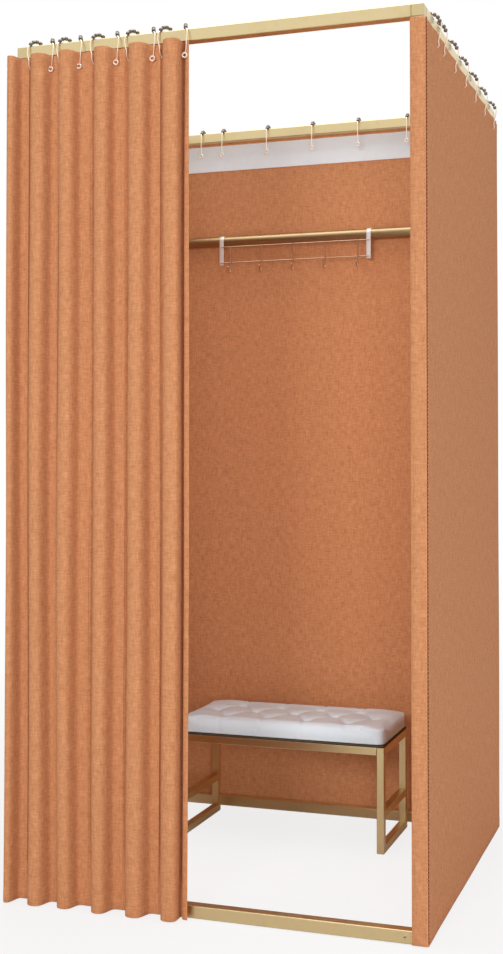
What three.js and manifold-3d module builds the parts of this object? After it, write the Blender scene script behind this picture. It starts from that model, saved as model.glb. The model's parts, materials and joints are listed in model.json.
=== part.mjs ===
// A portable fitting room: a square-tube booth with cloth on three sides, a front curtain on double
// roller hooks, a clothes rail with a hook rack over it, and a padded bench.
// Millimetres. +X is right of the doorway, +Y is the back, +Z is up. Sizes are laid out from the middle
// of the frame's plan, and the whole stands with its overall footprint centred on the origin.
// At rest the curtain is drawn open to the left.
import * as THREE from "three";
import { mergeVertices } from "three/addons/utils/BufferGeometryUtils.js";
import Module from "manifold-3d";

const wasm = await Module();
wasm.setup();

// Booth frame
const boothWidth = 976;
const boothDepth = 966;
const boothHeight = 2000;
const tubeSide = 28;
const tubeWall = 1.5;
const tubeCornerRadius = 2;
const plugLength = 45;
const footHeight = 2;
const footRadius = 11;
const footStemRadius = 4;
const footStemLength = 9;

// Clearance between pieces that touch, and how far welded bars run into each other
const fitGap = 0.3;
const weldOverlap = 0.5;

// Cloth panels on the sides and the rear
const clothThickness = 2.4;
const panelStandoff = 3.6;
const panelHem = 3;
const panelTopDrop = 30;
const panelCornerRadius = 3;
const frontStripWidth = 35;
const tapeHeight = 80;
const tapeThickness = 1;

// Front curtain, gathered at rest; its left edge stands past the left post
const curtainOverhang = 15;
const gatheredWidth = 464;
const curtainStandoff = 1.9;
const foldFrontWidth = 36;
const foldDepthTop = 33;
const foldDepthHem = 39;
const foldUndercut = 7;
const foldRadius = 11;
const foldSway = 2.5;
const edgeFloor = 17;
const edgeRun = 13;
const edgeTurn = 15;
const foldStartShares = [0, 0.134, 0.293, 0.487, 0.672, 0.856];
const curtainLevels = 5;

// Double roller hooks
const hookWireRadius = 1.2;
const rollerRadius = 4;
const rollerNeckRadius = 1.9;
const rollerCount = 5;
const rollerPitch = 8.8;
const rollerLength = 5;
const crownRadius = 30;
const crownHeight = 9;
const fixedCrownDrop = 4.7;
const prongReach = 25;
const outerDrop = 61;
const innerDrop = 74;
const prongHookRise = 4;
const prongHookReach = 11;
const prongBallRadius = 1.9;
const frontHookShares = [0.13, 0.22, 0.296, 0.377, 0.481, 0.58, 0.67, 0.776, 0.847, 0.946];
const frontHookTurns = [-15, 22];
const sideHookShares = [-0.378, -0.307, -0.164, -0.023, 0.125, 0.274, 0.431];
const rearHookShares = [-0.392, -0.324, -0.181, -0.039, 0.102, 0.249, 0.392];
const fixedHookTurn = 18;

// Clothes rail, below the booth's top, and its sockets
const railDrop = 326;
const railRadius = 15;
const railWall = 1.5;
const socketPlateHeight = 60;
const socketPlateThickness = 3;
const socketDepth = 18;
const socketWall = 2.2;

// Hook rack: its place from the left post, and its wires, straps and hooks below the rail's axis
const rackSideGap = 135;
const rackWidth = 462.5;
const strapWidth = 13;
const strapThickness = 1.5;
const strapDrop = 73;
const strapTail = 9;
const rackWireRadius = 2;
const upperWireDrop = 19;
const lowerWireDrop = 66;
const rackHookCount = 5;
const rackHookPitch = 97.5;
const rackHookWireRadius = 1.8;
const rackHookDrop = 97;
const rackHookReach = 20;
const rackHookTip = 12;
const rackHookBall = 2.6;
const bendShares = [0, 0.25, 0.5, 0.75, 1];

// Bench: its place from the left post and from the rear posts
const benchSideGap = 135;
const benchRearGap = 44;
const benchWidth = 575;
const benchDepth = 278;
const benchFrameHeight = 274;
const benchTube = 20;
const benchTubeWall = 1.2;
const benchCornerRadius = 1.5;
const stretcherHeight = 100;
const boardInset = 2;
const boardThickness = 5.4;
const boardCornerRadius = 6;

// Cushion
const cushionHeight = 42;
const cushionInset = 3;
const cushionBulge = 7;
const cushionCornerRadius = 22;
const cushionCrown = 5;
const tuftDepth = 9;
const tuftRadius = 15;
const creaseDepth = 4.5;
const creaseWidth = 10;
const seamDepth = 2;
const seamWidth = 6;
const cushionPanels = 5;
const tuftRowShares = [-0.52, 0, 0.52];
// How far up the side, and how far out in units of the bulge
const cushionSideShares = [
  [0, -0.1],
  [0.09, 0.35],
  [0.34, 1],
  [0.62, 0.75],
  [0.86, -0.5],
  [1, -2.2],
];

// Face counts
const cornerSteps = 1;
const roundSides = 16;
const wireSides = 6;
const fixedWireSides = 4;
const foldSteps = 3;
const cushionColumns = 36;
const cushionRows = 16;

const halfWidth = boothWidth / 2;
const halfDepth = boothDepth / 2;
const postX = halfWidth - tubeSide / 2;
const postY = halfDepth - tubeSide / 2;
const topBeamZ = boothHeight - tubeSide / 2;
const bottomRailZ = footHeight + tubeSide / 2;
const clothTop = boothHeight - panelTopDrop;
const curtainLeft = -(halfWidth + curtainOverhang);
const railHeight = boothHeight - railDrop;

const finish = (color, roughness, metalness) =>
  new THREE.MeshStandardMaterial({ color, roughness, metalness, flatShading: true });
const champagneGold = finish(0xd9c493, 0.34, 0.85);
const connectorGold = finish(0xcdb680, 0.4, 0.85);
const roseGoldRail = finish(0xcfae86, 0.3, 0.9);
const terracottaCloth = finish(0xc58259, 0.9, 0);
const whiteTape = finish(0xe9e7e4, 0.85, 0);
const hookMetal = finish(0xc9b79c, 0.35, 0.85);
const satinSteel = finish(0xb9bcc0, 0.35, 0.9);
const blackRubber = finish(0x2b2a29, 0.8, 0);
const darkBoard = finish(0x2e2b29, 0.7, 0);
const paleLeatherette = finish(0xdadad8, 0.55, 0);

// Drops faces without area and turns a closed surface so that its faces point out.
function closed(geometry) {
  const bare = new THREE.BufferGeometry();
  bare.setAttribute("position", geometry.getAttribute("position").clone());
  if (geometry.index) bare.setIndex(geometry.index.clone());
  const merged = mergeVertices(bare, 1e-4);
  const place = merged.getAttribute("position");
  const corners = merged.index.array;
  const kept = [];
  const [a, b, c] = [new THREE.Vector3(), new THREE.Vector3(), new THREE.Vector3()];
  let volume = 0;
  for (let i = 0; i < corners.length; i += 3) {
    const [p, q, r] = corners.slice(i, i + 3);
    if (p === q || q === r || r === p) continue;
    kept.push(p, q, r);
    a.fromBufferAttribute(place, p);
    b.fromBufferAttribute(place, q);
    c.fromBufferAttribute(place, r);
    volume += a.dot(b.cross(c));
  }
  merged.setIndex(volume < 0 ? kept.reverse() : kept);
  return merged;
}

function toSolid(geometry) {
  const surface = closed(geometry);
  return new wasm.Manifold(
    new wasm.Mesh({
      numProp: 3,
      vertProperties: new Float32Array(surface.getAttribute("position").array),
      triVerts: new Uint32Array(surface.index.array),
    }),
  );
}

function fromSolid(solid) {
  const mesh = solid.getMesh();
  const geometry = new THREE.BufferGeometry();
  geometry.setAttribute("position", new THREE.BufferAttribute(mesh.vertProperties, 3));
  geometry.setIndex(new THREE.BufferAttribute(mesh.triVerts, 1));
  return geometry;
}

const joined = (...parts) => fromSolid(parts.map(toSolid).reduce((a, b) => a.add(b)));
const cutFrom = (body, ...tools) =>
  fromSolid(tools.map(toSolid).reduce((a, b) => a.subtract(b), toSolid(body)));

const room = new THREE.Group();
const frame = new THREE.Group();
const cloth = new THREE.Group();
const curtain = new THREE.Group();
const bench = new THREE.Group();
room.add(frame, cloth, curtain, bench);

function piece(group, name, geometry, material, x = 0, y = 0, z = 0) {
  const mesh = new THREE.Mesh(closed(geometry), material);
  mesh.name = name;
  mesh.position.set(x, y, z);
  group.add(mesh);
  return mesh;
}

function roundedRectangle(width, height, radius, target = new THREE.Shape()) {
  const [w, h] = [width / 2, height / 2];
  target.moveTo(radius - w, -h);
  target.lineTo(w - radius, -h);
  target.absarc(w - radius, radius - h, radius, -Math.PI / 2, 0);
  target.lineTo(w, h - radius);
  target.absarc(w - radius, h - radius, radius, 0, Math.PI / 2);
  target.lineTo(radius - w, h);
  target.absarc(radius - w, h - radius, radius, Math.PI / 2, Math.PI);
  target.lineTo(-w, radius - h);
  target.absarc(radius - w, radius - h, radius, Math.PI, 1.5 * Math.PI);
  return target;
}

// Extruded along +Z and centred on it.
function prism(shape, length, curveSegments = cornerSteps) {
  const settings = { depth: length, bevelEnabled: false, curveSegments };
  return new THREE.ExtrudeGeometry(shape, settings).translate(0, 0, -length / 2);
}

// The same prism laid along X, its outline's x along Y and its outline's y along Z.
const alongX = (geometry) =>
  geometry.applyMatrix4(new THREE.Matrix4().set(0, 0, 1, 0, 1, 0, 0, 0, 0, 1, 0, 0, 0, 0, 0, 1));
const alongY = (geometry) => geometry.rotateX(Math.PI / 2);

function squareTube(length, side, wall, cornerRadius) {
  const shape = roundedRectangle(side, side, cornerRadius);
  const bore = side - 2 * wall;
  const boreRadius = Math.max(cornerRadius - wall, cornerRadius / 4);
  shape.holes.push(roundedRectangle(bore, bore, boreRadius, new THREE.Path()));
  return prism(shape, length);
}

// Posts, beams and rails run between the corner connectors.
const postLength = boothHeight - footHeight - 2 * tubeSide - 2 * fitGap;
const beamLengthX = boothWidth - 2 * tubeSide - 2 * fitGap;
const beamLengthY = boothDepth - 2 * tubeSide - 2 * fitGap;
const bar = (length) => squareTube(length, tubeSide, tubeWall, tubeCornerRadius);

const sides = [
  { name: "left", x: -1 },
  { name: "right", x: 1 },
];
const ends = [
  { name: "front", y: -1 },
  { name: "rear", y: 1 },
];

// A corner connector: a block with three square plugs that enter the tubes.
function cornerConnector(towardX, towardY, towardZ) {
  const block = new THREE.ExtrudeGeometry(
    roundedRectangle(
      tubeSide - 2 * tubeCornerRadius,
      tubeSide - 2 * tubeCornerRadius,
      tubeCornerRadius,
    ),
    {
      depth: tubeSide - 2 * tubeCornerRadius,
      bevelThickness: tubeCornerRadius,
      bevelSize: tubeCornerRadius,
      bevelSegments: cornerSteps,
      curveSegments: cornerSteps,
    },
  ).translate(0, 0, tubeCornerRadius - tubeSide / 2);
  const plugSide = tubeSide - 2 * tubeWall - 2 * fitGap;
  const reach = plugLength + tubeSide / 2;
  const plug = () => new THREE.BoxGeometry(plugSide, plugSide, reach);
  return joined(
    block,
    plug().translate(0, 0, (towardZ * reach) / 2),
    plug().rotateY(Math.PI / 2).translate((towardX * reach) / 2, 0, 0),
    plug().rotateX(Math.PI / 2).translate(0, (towardY * reach) / 2, 0),
  );
}

function footProfile(extra) {
  const top = footStemLength + extra;
  return [
    new THREE.Vector2(0, -footHeight),
    new THREE.Vector2(footRadius - footHeight / 2, -footHeight),
    new THREE.Vector2(footRadius, -footHeight / 2),
    new THREE.Vector2(footRadius, -fitGap),
    new THREE.Vector2(footStemRadius + extra, -fitGap),
    new THREE.Vector2(footStemRadius + extra, top),
    new THREE.Vector2(0, top),
  ];
}

function buildFrame() {
  for (const { name: side, x } of sides) {
    for (const { name: end, y } of ends) {
      const place = [x * postX, y * postY];
      const corner = end + "_" + side;
      const postZ = (boothHeight + footHeight) / 2;
      piece(frame, "post_" + corner, bar(postLength), champagneGold, ...place, postZ);
      const cap = cornerConnector(-x, -y, -1);
      piece(frame, "connector_top_" + corner, cap, connectorGold, ...place, topBeamZ);
      const stemHole = new THREE.CylinderGeometry(
        footStemRadius + fitGap,
        footStemRadius + fitGap,
        2 * (footStemLength + fitGap),
        roundSides,
      );
      const block = cutFrom(
        cornerConnector(-x, -y, 1),
        stemHole.rotateX(Math.PI / 2).translate(0, 0, -tubeSide / 2),
      );
      piece(frame, "connector_bottom_" + corner, block, connectorGold, ...place, bottomRailZ);
      const foot = new THREE.LatheGeometry(footProfile(0), roundSides).rotateX(Math.PI / 2);
      piece(frame, "glide_foot_" + corner, foot, blackRubber, ...place, footHeight);
    }
  }
  for (const { name: end, y } of ends) {
    const rail = alongX(bar(beamLengthX));
    piece(frame, "bottom_rail_" + end, rail, champagneGold, 0, y * postY, bottomRailZ);
  }
  for (const { name: side, x } of sides) {
    const rail = alongY(bar(beamLengthY));
    piece(frame, "bottom_rail_" + side, rail, champagneGold, x * postX, 0, bottomRailZ);
  }
}

// A round bar through stations in the YZ plane, each { y, z, radius }, closed by flat ends.
function wireBar(stations, sideCount) {
  const last = stations.length - 1;
  const points = [];
  const faces = [];
  stations.forEach(({ y, z, radius }, i) => {
    const before = stations[Math.max(i - 1, 0)];
    const after = stations[Math.min(i + 1, last)];
    const along = new THREE.Vector2(after.y - before.y, after.z - before.z).normalize();
    for (let j = 0; j < sideCount; j++) {
      const angle = Math.PI / 2 + (2 * Math.PI * j) / sideCount;
      const out = radius * Math.sin(angle);
      points.push(radius * Math.cos(angle), y - along.y * out, z + along.x * out);
    }
  });
  for (let i = 0; i < last; i++) {
    for (let j = 0; j < sideCount; j++) {
      const next = (j + 1) % sideCount;
      const [a, b] = [i * sideCount + j, i * sideCount + next];
      faces.push(a, a + sideCount, b, b, a + sideCount, b + sideCount);
    }
  }
  for (let j = 1; j < sideCount - 1; j++) {
    const end = last * sideCount;
    faces.push(0, j, j + 1, end, end + j + 1, end + j);
  }
  const geometry = new THREE.BufferGeometry();
  geometry.setAttribute("position", new THREE.Float32BufferAttribute(points, 3));
  geometry.setIndex(faces);
  return geometry;
}

// A double roller hook across a beam that runs along X, with its origin on the beam's top face.
// The outer prong ends against cloth whose face lies clothFace in front of the beam's middle, and the
// whole hook stands turned on the beam.
function rollerHook(clothFace, turnDegrees, drop, sideCount, barrels) {
  const turn = THREE.MathUtils.degToRad(turnDegrees);
  const crownZ = crownHeight - drop - crownRadius;
  const rollerAngle = rollerPitch / crownRadius;
  const halfRoller = rollerLength / 2 / crownRadius;
  const onCrown = (angle, radius) => ({
    y: crownRadius * Math.sin(angle),
    z: crownZ + crownRadius * Math.cos(angle),
    radius,
  });
  const crown = [onCrown((-rollerAngle * rollerCount) / 2, rollerNeckRadius)];
  for (let i = 0; i < rollerCount; i++) {
    const middle = (i - (rollerCount - 1) / 2) * rollerAngle;
    const shoulders = barrels ? [middle - halfRoller, middle + halfRoller] : [middle];
    crown.push(...shoulders.map((angle) => onCrown(angle, rollerRadius)));
    crown.push(onCrown(middle + rollerAngle / 2, rollerNeckRadius));
  }
  const wire = (y, z) => ({ y, z, radius: hookWireRadius });
  const tipReach = clothFace + fitGap + hookWireRadius * (1 + Math.sin(Math.abs(turn)));
  const tipY = -tipReach / Math.cos(turn);
  const outerY = -prongReach - hookWireRadius * 2;
  const hollow = (outerY + tipY) / 2;
  const outer = [
    wire(tipY, prongHookRise - outerDrop),
    wire(hollow + hookWireRadius, -outerDrop),
    wire(hollow - hookWireRadius, -outerDrop),
    wire(outerY, prongHookRise - outerDrop),
    wire(outerY, -outerDrop / 2),
    wire(-prongReach, -outerDrop / 5),
  ];
  const innerTip = prongReach - prongHookReach;
  const inner = [
    wire(prongReach, -innerDrop / 6),
    wire(prongReach, prongHookReach / 2 - innerDrop),
    wire((prongReach + innerTip) / 2, -innerDrop),
    wire(innerTip, prongHookRise - innerDrop),
    { y: innerTip, z: prongHookRise + prongBallRadius - innerDrop, radius: prongBallRadius },
  ];
  return wireBar([...outer, ...crown, ...inner], sideCount).rotateZ(turn);
}

function beamWithHooks(length, shares, span, towardOut) {
  const clothFace = tubeSide / 2 + panelStandoff + clothThickness;
  const hooks = shares.map((share) =>
    rollerHook(clothFace, fixedHookTurn, fixedCrownDrop, fixedWireSides, false).translate(
      share * span,
      0,
      tubeSide / 2,
    ),
  );
  return joined(alongX(bar(length)), ...hooks).rotateZ(towardOut);
}

function buildTopBeams() {
  piece(frame, "top_beam_front", alongX(bar(beamLengthX)), champagneGold, 0, -postY, topBeamZ);
  const mirrored = rearHookShares.map((share) => -share);
  const rear = beamWithHooks(beamLengthX, mirrored, boothWidth, Math.PI);
  piece(frame, "top_beam_rear", rear, champagneGold, 0, postY, topBeamZ);
  const right = beamWithHooks(beamLengthY, sideHookShares, boothDepth, Math.PI / 2);
  piece(frame, "top_beam_right", right, champagneGold, postX, 0, topBeamZ);
  const leftShares = sideHookShares.map((share) => -share);
  const left = beamWithHooks(beamLengthY, leftShares, boothDepth, -Math.PI / 2);
  piece(frame, "top_beam_left", left, champagneGold, -postX, 0, topBeamZ);
}

// The plan line with its inner corners rounded.
function rounded(corners, radius) {
  const line = corners.map(([x, y]) => new THREE.Vector2(x, y));
  const points = [line[0]];
  for (let i = 1; i < line.length - 1; i++) {
    const [before, corner, after] = [line[i - 1], line[i], line[i + 1]];
    const reach = (other) => Math.min(radius, corner.distanceTo(other) / 2);
    const start = corner.clone().lerp(before, reach(before) / corner.distanceTo(before));
    const end = corner.clone().lerp(after, reach(after) / corner.distanceTo(after));
    points.push(...new THREE.QuadraticBezierCurve(start, corner, end).getPoints(foldSteps));
  }
  return [...points, line.at(-1)];
}

// Cloth that hangs along a plan line: planAt gives the line's points at a share of the height.
// The line runs with the cloth's outer face on its right.
function hangingCloth(planAt, bottom, top, levels, thickness) {
  const points = [];
  const faces = [];
  let count = 0;
  for (let level = 0; level < levels; level++) {
    const share = level / (levels - 1);
    const z = THREE.MathUtils.lerp(bottom, top, share);
    const line = planAt(share);
    count = line.length;
    const offset = (i, side) => {
      const [before, after] = [line[Math.max(i - 1, 0)], line[Math.min(i + 1, count - 1)]];
      const along = after.clone().sub(before).normalize();
      const out = (side * thickness) / 2;
      return [line[i].x + along.y * out, line[i].y - along.x * out, z];
    };
    for (let i = 0; i < count; i++) points.push(...offset(i, 1));
    for (let i = count - 1; i >= 0; i--) points.push(...offset(i, -1));
  }
  const ring = 2 * count;
  for (let level = 0; level < levels - 1; level++) {
    for (let i = 0; i < ring; i++) {
      const [a, b] = [level * ring + i, level * ring + ((i + 1) % ring)];
      faces.push(a, b, b + ring, a, b + ring, a + ring);
    }
  }
  const topRing = (levels - 1) * ring;
  for (let i = 0; i < count - 1; i++) {
    const [outer, outerNext, innerNext, inner] = [i, i + 1, ring - 2 - i, ring - 1 - i];
    faces.push(outer, innerNext, outerNext, outer, inner, innerNext);
    faces.push(topRing + outer, topRing + outerNext, topRing + innerNext);
    faces.push(topRing + outer, topRing + innerNext, topRing + inner);
  }
  const geometry = new THREE.BufferGeometry();
  geometry.setAttribute("position", new THREE.Float32BufferAttribute(points, 3));
  geometry.setIndex(faces);
  return geometry;
}

function buildPanels() {
  const middle = panelStandoff + clothThickness / 2;
  const [sideX, rearY] = [halfWidth + middle, halfDepth + middle];
  const outerRear = rearY + clothThickness / 2;
  const panel = (corners) =>
    hangingCloth(() => rounded(corners, panelCornerRadius), panelHem, clothTop, 2, clothThickness);
  const stripLeft = sideX + clothThickness / 2 - frontStripWidth;
  const right = panel([
    [stripLeft, -rearY],
    [sideX, -rearY],
    [sideX, outerRear],
  ]);
  piece(cloth, "side_panel_right", right, terracottaCloth);
  const left = panel([
    [-sideX, outerRear],
    [-sideX, -halfDepth],
  ]);
  piece(cloth, "side_panel_left", left, terracottaCloth);
  const rearEnd = sideX - clothThickness / 2 - fitGap;
  const rear = panel([
    [rearEnd, rearY],
    [-rearEnd, rearY],
  ]);
  piece(cloth, "rear_panel", rear, terracottaCloth);

  const tapeZ = clothTop - tapeHeight / 2;
  const tapeBack = middle - clothThickness / 2 - fitGap - tapeThickness / 2;
  const rearTape = new THREE.BoxGeometry(2 * postX, tapeThickness, tapeHeight);
  piece(cloth, "header_tape_rear", rearTape, whiteTape, 0, halfDepth + tapeBack, tapeZ);
  for (const { name, x } of sides) {
    const tape = new THREE.BoxGeometry(tapeThickness, 2 * postY, tapeHeight);
    piece(cloth, "header_tape_" + name, tape, whiteTape, x * (halfWidth + tapeBack), 0, tapeZ);
  }
}

// The front curtain is one cloth with six folds. Each valley between folds is held by its hooks and
// keeps its shape, and the folds open as the hooks part, so it is split at the folds' fronts.
const valleyY = -(halfDepth + curtainStandoff + clothThickness / 2);
const foldCount = foldStartShares.length;

function foldStart(index, share) {
  const sway = foldSway * Math.sin(2 * Math.PI * share + index) * (1 - share);
  return curtainLeft + clothThickness / 2 + foldStartShares[index] * gatheredWidth + sway;
}

function curtainSection(index, share) {
  const frontY = valleyY - THREE.MathUtils.lerp(foldDepthHem, foldDepthTop, share);
  const corners = [];
  if (index > 0) {
    const start = foldStart(index - 1, share);
    const flank = start + foldFrontWidth - clothThickness;
    corners.push([start + (foldFrontWidth + fitGap) / 2, frontY], [flank, frontY], [flank, valleyY]);
  }
  if (index < foldCount) {
    const start = foldStart(index, share);
    const middle = start + (foldFrontWidth - fitGap) / 2;
    corners.push([start + foldUndercut, valleyY], [start, frontY], [middle, frontY]);
  } else {
    const edge = foldStart(foldCount - 1, share) + foldFrontWidth + edgeFloor;
    corners.push([edge, valleyY], [edge + edgeRun, valleyY - edgeTurn]);
  }
  return rounded(corners, foldRadius);
}

function buildCurtain() {
  for (let index = 0; index <= foldCount; index++) {
    const section = hangingCloth(
      (share) => curtainSection(index, share),
      panelHem,
      clothTop,
      curtainLevels,
      clothThickness,
    );
    piece(curtain, "curtain_section_" + (index + 1), section, terracottaCloth);
  }
  const clothFace = clothThickness / 2 - valleyY - postY;
  frontHookShares.forEach((share, i) => {
    const name = "curtain_hook_" + String(i + 1).padStart(2, "0");
    const x = curtainLeft + share * gatheredWidth;
    const turn = frontHookTurns[i % frontHookTurns.length];
    const hook = rollerHook(clothFace, turn, 0, wireSides, true);
    piece(curtain, name, hook, hookMetal, x, -postY, boothHeight);
  });
}

function buildRail() {
  const socketBore = railRadius + fitGap;
  const plateX = halfWidth - tubeSide - fitGap - socketPlateThickness;
  const railLength = 2 * (plateX - fitGap);
  const tubeProfile = (outer, inner, length) =>
    [
      [inner, -length / 2],
      [outer, -length / 2],
      [outer, length / 2],
      [inner, length / 2],
      [inner, -length / 2],
    ].map(([x, y]) => new THREE.Vector2(x, y));
  const railProfile = tubeProfile(railRadius, railRadius - railWall, railLength);
  const rail = new THREE.LatheGeometry(railProfile, roundSides);
  piece(frame, "clothes_rail", rail.rotateZ(Math.PI / 2), roseGoldRail, 0, postY, railHeight);
  for (const { name, x } of sides) {
    const plateWidth = tubeSide - 2 * tubeCornerRadius;
    const plateShape = roundedRectangle(plateWidth, socketPlateHeight, tubeCornerRadius);
    const plate = alongX(prism(plateShape, socketPlateThickness));
    const cupProfile = tubeProfile(socketBore + socketWall, socketBore, socketDepth);
    const cup = new THREE.LatheGeometry(cupProfile, roundSides)
      .rotateZ(Math.PI / 2)
      .translate(-x * ((socketDepth + socketPlateThickness) / 2 - weldOverlap), 0, 0);
    const socket = joined(plate, cup);
    const place = [x * (plateX + socketPlateThickness / 2), postY, railHeight];
    piece(frame, "rail_socket_" + name, socket, champagneGold, ...place);
  }
}

// The rack hangs on the rail by two flat straps, which two wires join, with J hooks along them.
function buildRack() {
  const inner = railRadius + fitGap;
  const outer = inner + strapThickness;
  const strapShape = new THREE.Shape();
  strapShape.moveTo(outer, -strapTail);
  strapShape.absarc(0, 0, outer, 0, Math.PI);
  strapShape.lineTo(-outer, -strapDrop);
  strapShape.lineTo(-inner, -strapDrop);
  strapShape.absarc(0, 0, inner, Math.PI, 0, true);
  strapShape.lineTo(inner, -strapTail);
  const strap = (x) => alongX(prism(strapShape, strapWidth, roundSides / 2)).translate(x, 0, 0);
  const wireY = -outer - rackWireRadius + weldOverlap;
  const wireLength = rackWidth - strapWidth;
  const wire = (drop) =>
    new THREE.CylinderGeometry(rackWireRadius, rackWireRadius, wireLength, roundSides / 2)
      .rotateZ(Math.PI / 2)
      .translate(0, wireY, -drop);
  const shankY = wireY - rackWireRadius - rackHookWireRadius + weldOverlap;
  const bend = rackHookReach / 2;
  const tipZ = rackHookTip - rackHookDrop;
  const rod = (y, z) => ({ y, z, radius: rackHookWireRadius });
  const onBend = (share) =>
    rod(
      shankY - bend + bend * Math.cos(share * Math.PI),
      bend - rackHookDrop - bend * Math.sin(share * Math.PI),
    );
  const jHook = (x) =>
    wireBar(
      [
        rod(shankY, rackWireRadius - upperWireDrop),
        rod(shankY, -lowerWireDrop),
        ...bendShares.map(onBend),
        rod(shankY - rackHookReach, tipZ),
        { y: shankY - rackHookReach, z: tipZ + rackHookBall, radius: rackHookBall },
        rod(shankY - rackHookReach, tipZ + 2 * rackHookBall),
      ],
      wireSides,
    ).translate(x, 0, 0);
  const strapX = (rackWidth - strapWidth) / 2;
  const hooks = [];
  for (let i = 0; i < rackHookCount; i++) {
    hooks.push(jHook((i - (rackHookCount - 1) / 2) * rackHookPitch));
  }
  const wires = [wire(upperWireDrop), wire(lowerWireDrop)];
  const rack = joined(strap(-strapX), strap(strapX), ...wires, ...hooks);
  const rackX = tubeSide - halfWidth + rackSideGap + rackWidth / 2;
  piece(frame, "hook_rack", rack, satinSteel, rackX, postY, railHeight);
}

function buildBench() {
  const benchX = tubeSide - halfWidth + benchSideGap + benchWidth / 2;
  const benchY = halfDepth - tubeSide - benchRearGap - benchDepth / 2;
  bench.position.set(benchX, benchY, 0);
  const inset = benchTube / 2;
  const legX = benchWidth / 2 - inset;
  const legY = benchDepth / 2 - inset;
  const loop = roundedRectangle(benchDepth, benchFrameHeight, benchCornerRadius);
  loop.holes.push(
    roundedRectangle(
      benchDepth - 2 * benchTube,
      benchFrameHeight - 2 * benchTube,
      benchCornerRadius / 2,
      new THREE.Path(),
    ),
  );
  const tube = (length) => squareTube(length, benchTube, benchTubeWall, benchCornerRadius);
  for (const { name, x } of sides) {
    const end = alongX(prism(loop, benchTube));
    piece(bench, "bench_end_loop_" + name, end, champagneGold, x * legX, 0, benchFrameHeight / 2);
    const stretcher = alongY(tube(benchDepth - 2 * benchTube - 2 * fitGap));
    piece(bench, "bench_stretcher_" + name, stretcher, champagneGold, x * legX, 0, stretcherHeight);
  }
  for (const { name, y } of ends) {
    const rail = alongX(tube(benchWidth - 2 * benchTube - 2 * fitGap));
    piece(bench, "bench_seat_rail_" + name, rail, champagneGold, 0, y * legY, benchFrameHeight - inset);
  }
  const board = prism(
    roundedRectangle(benchWidth - 2 * boardInset, benchDepth - 2 * boardInset, boardCornerRadius),
    boardThickness,
  );
  const boardZ = benchFrameHeight + fitGap + boardThickness / 2;
  piece(bench, "bench_seat_board", board, darkBoard, 0, 0, boardZ);
  const cushionZ = boardZ + boardThickness / 2 + fitGap;
  piece(bench, "bench_cushion", cushionGeometry(), paleLeatherette, 0, 0, cushionZ);
}

// Depth of the tufts and of the creases that run from each tuft to its neighbours in the next rows.
function upholsteryDip(x, y, halfX, halfY) {
  const panelWidth = (2 * halfX) / cushionPanels;
  const tufts = [];
  tuftRowShares.forEach((rowShare, row) => {
    const staggered = row % 2;
    const count = staggered ? cushionPanels : cushionPanels - 1;
    for (let i = 0; i < count; i++) {
      tufts.push(new THREE.Vector2((i - (count - 1) / 2) * panelWidth, rowShare * halfY));
    }
  });
  const here = new THREE.Vector2(x, y);
  const bell = (distance, width) => Math.exp(-((distance / width) ** 2));
  const tuft = Math.max(...tufts.map((t) => bell(here.distanceTo(t), tuftRadius)));
  let crease = 0;
  for (const [i, a] of tufts.entries()) {
    for (const b of tufts.slice(i + 1)) {
      if (a.y === b.y || Math.abs(a.x - b.x) > panelWidth) continue;
      if (Math.abs(a.y - b.y) > halfY) continue;
      const nearest = new THREE.Line3(new THREE.Vector3(a.x, a.y), new THREE.Vector3(b.x, b.y))
        .closestPointToPoint(new THREE.Vector3(x, y), true, new THREE.Vector3());
      crease = Math.max(crease, bell(Math.hypot(x - nearest.x, y - nearest.y), creaseWidth));
    }
  }
  let seam = 0;
  for (let i = 1; i < cushionPanels; i++) {
    const pastTufts = Math.abs(y) > tuftRowShares.at(-1) * halfY;
    const away = Math.abs(x - (i - cushionPanels / 2) * panelWidth);
    seam = Math.max(seam, pastTufts ? bell(away, seamWidth) : 0);
  }
  return Math.max(tuftDepth * tuft, creaseDepth * crease, seamDepth * seam);
}

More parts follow.
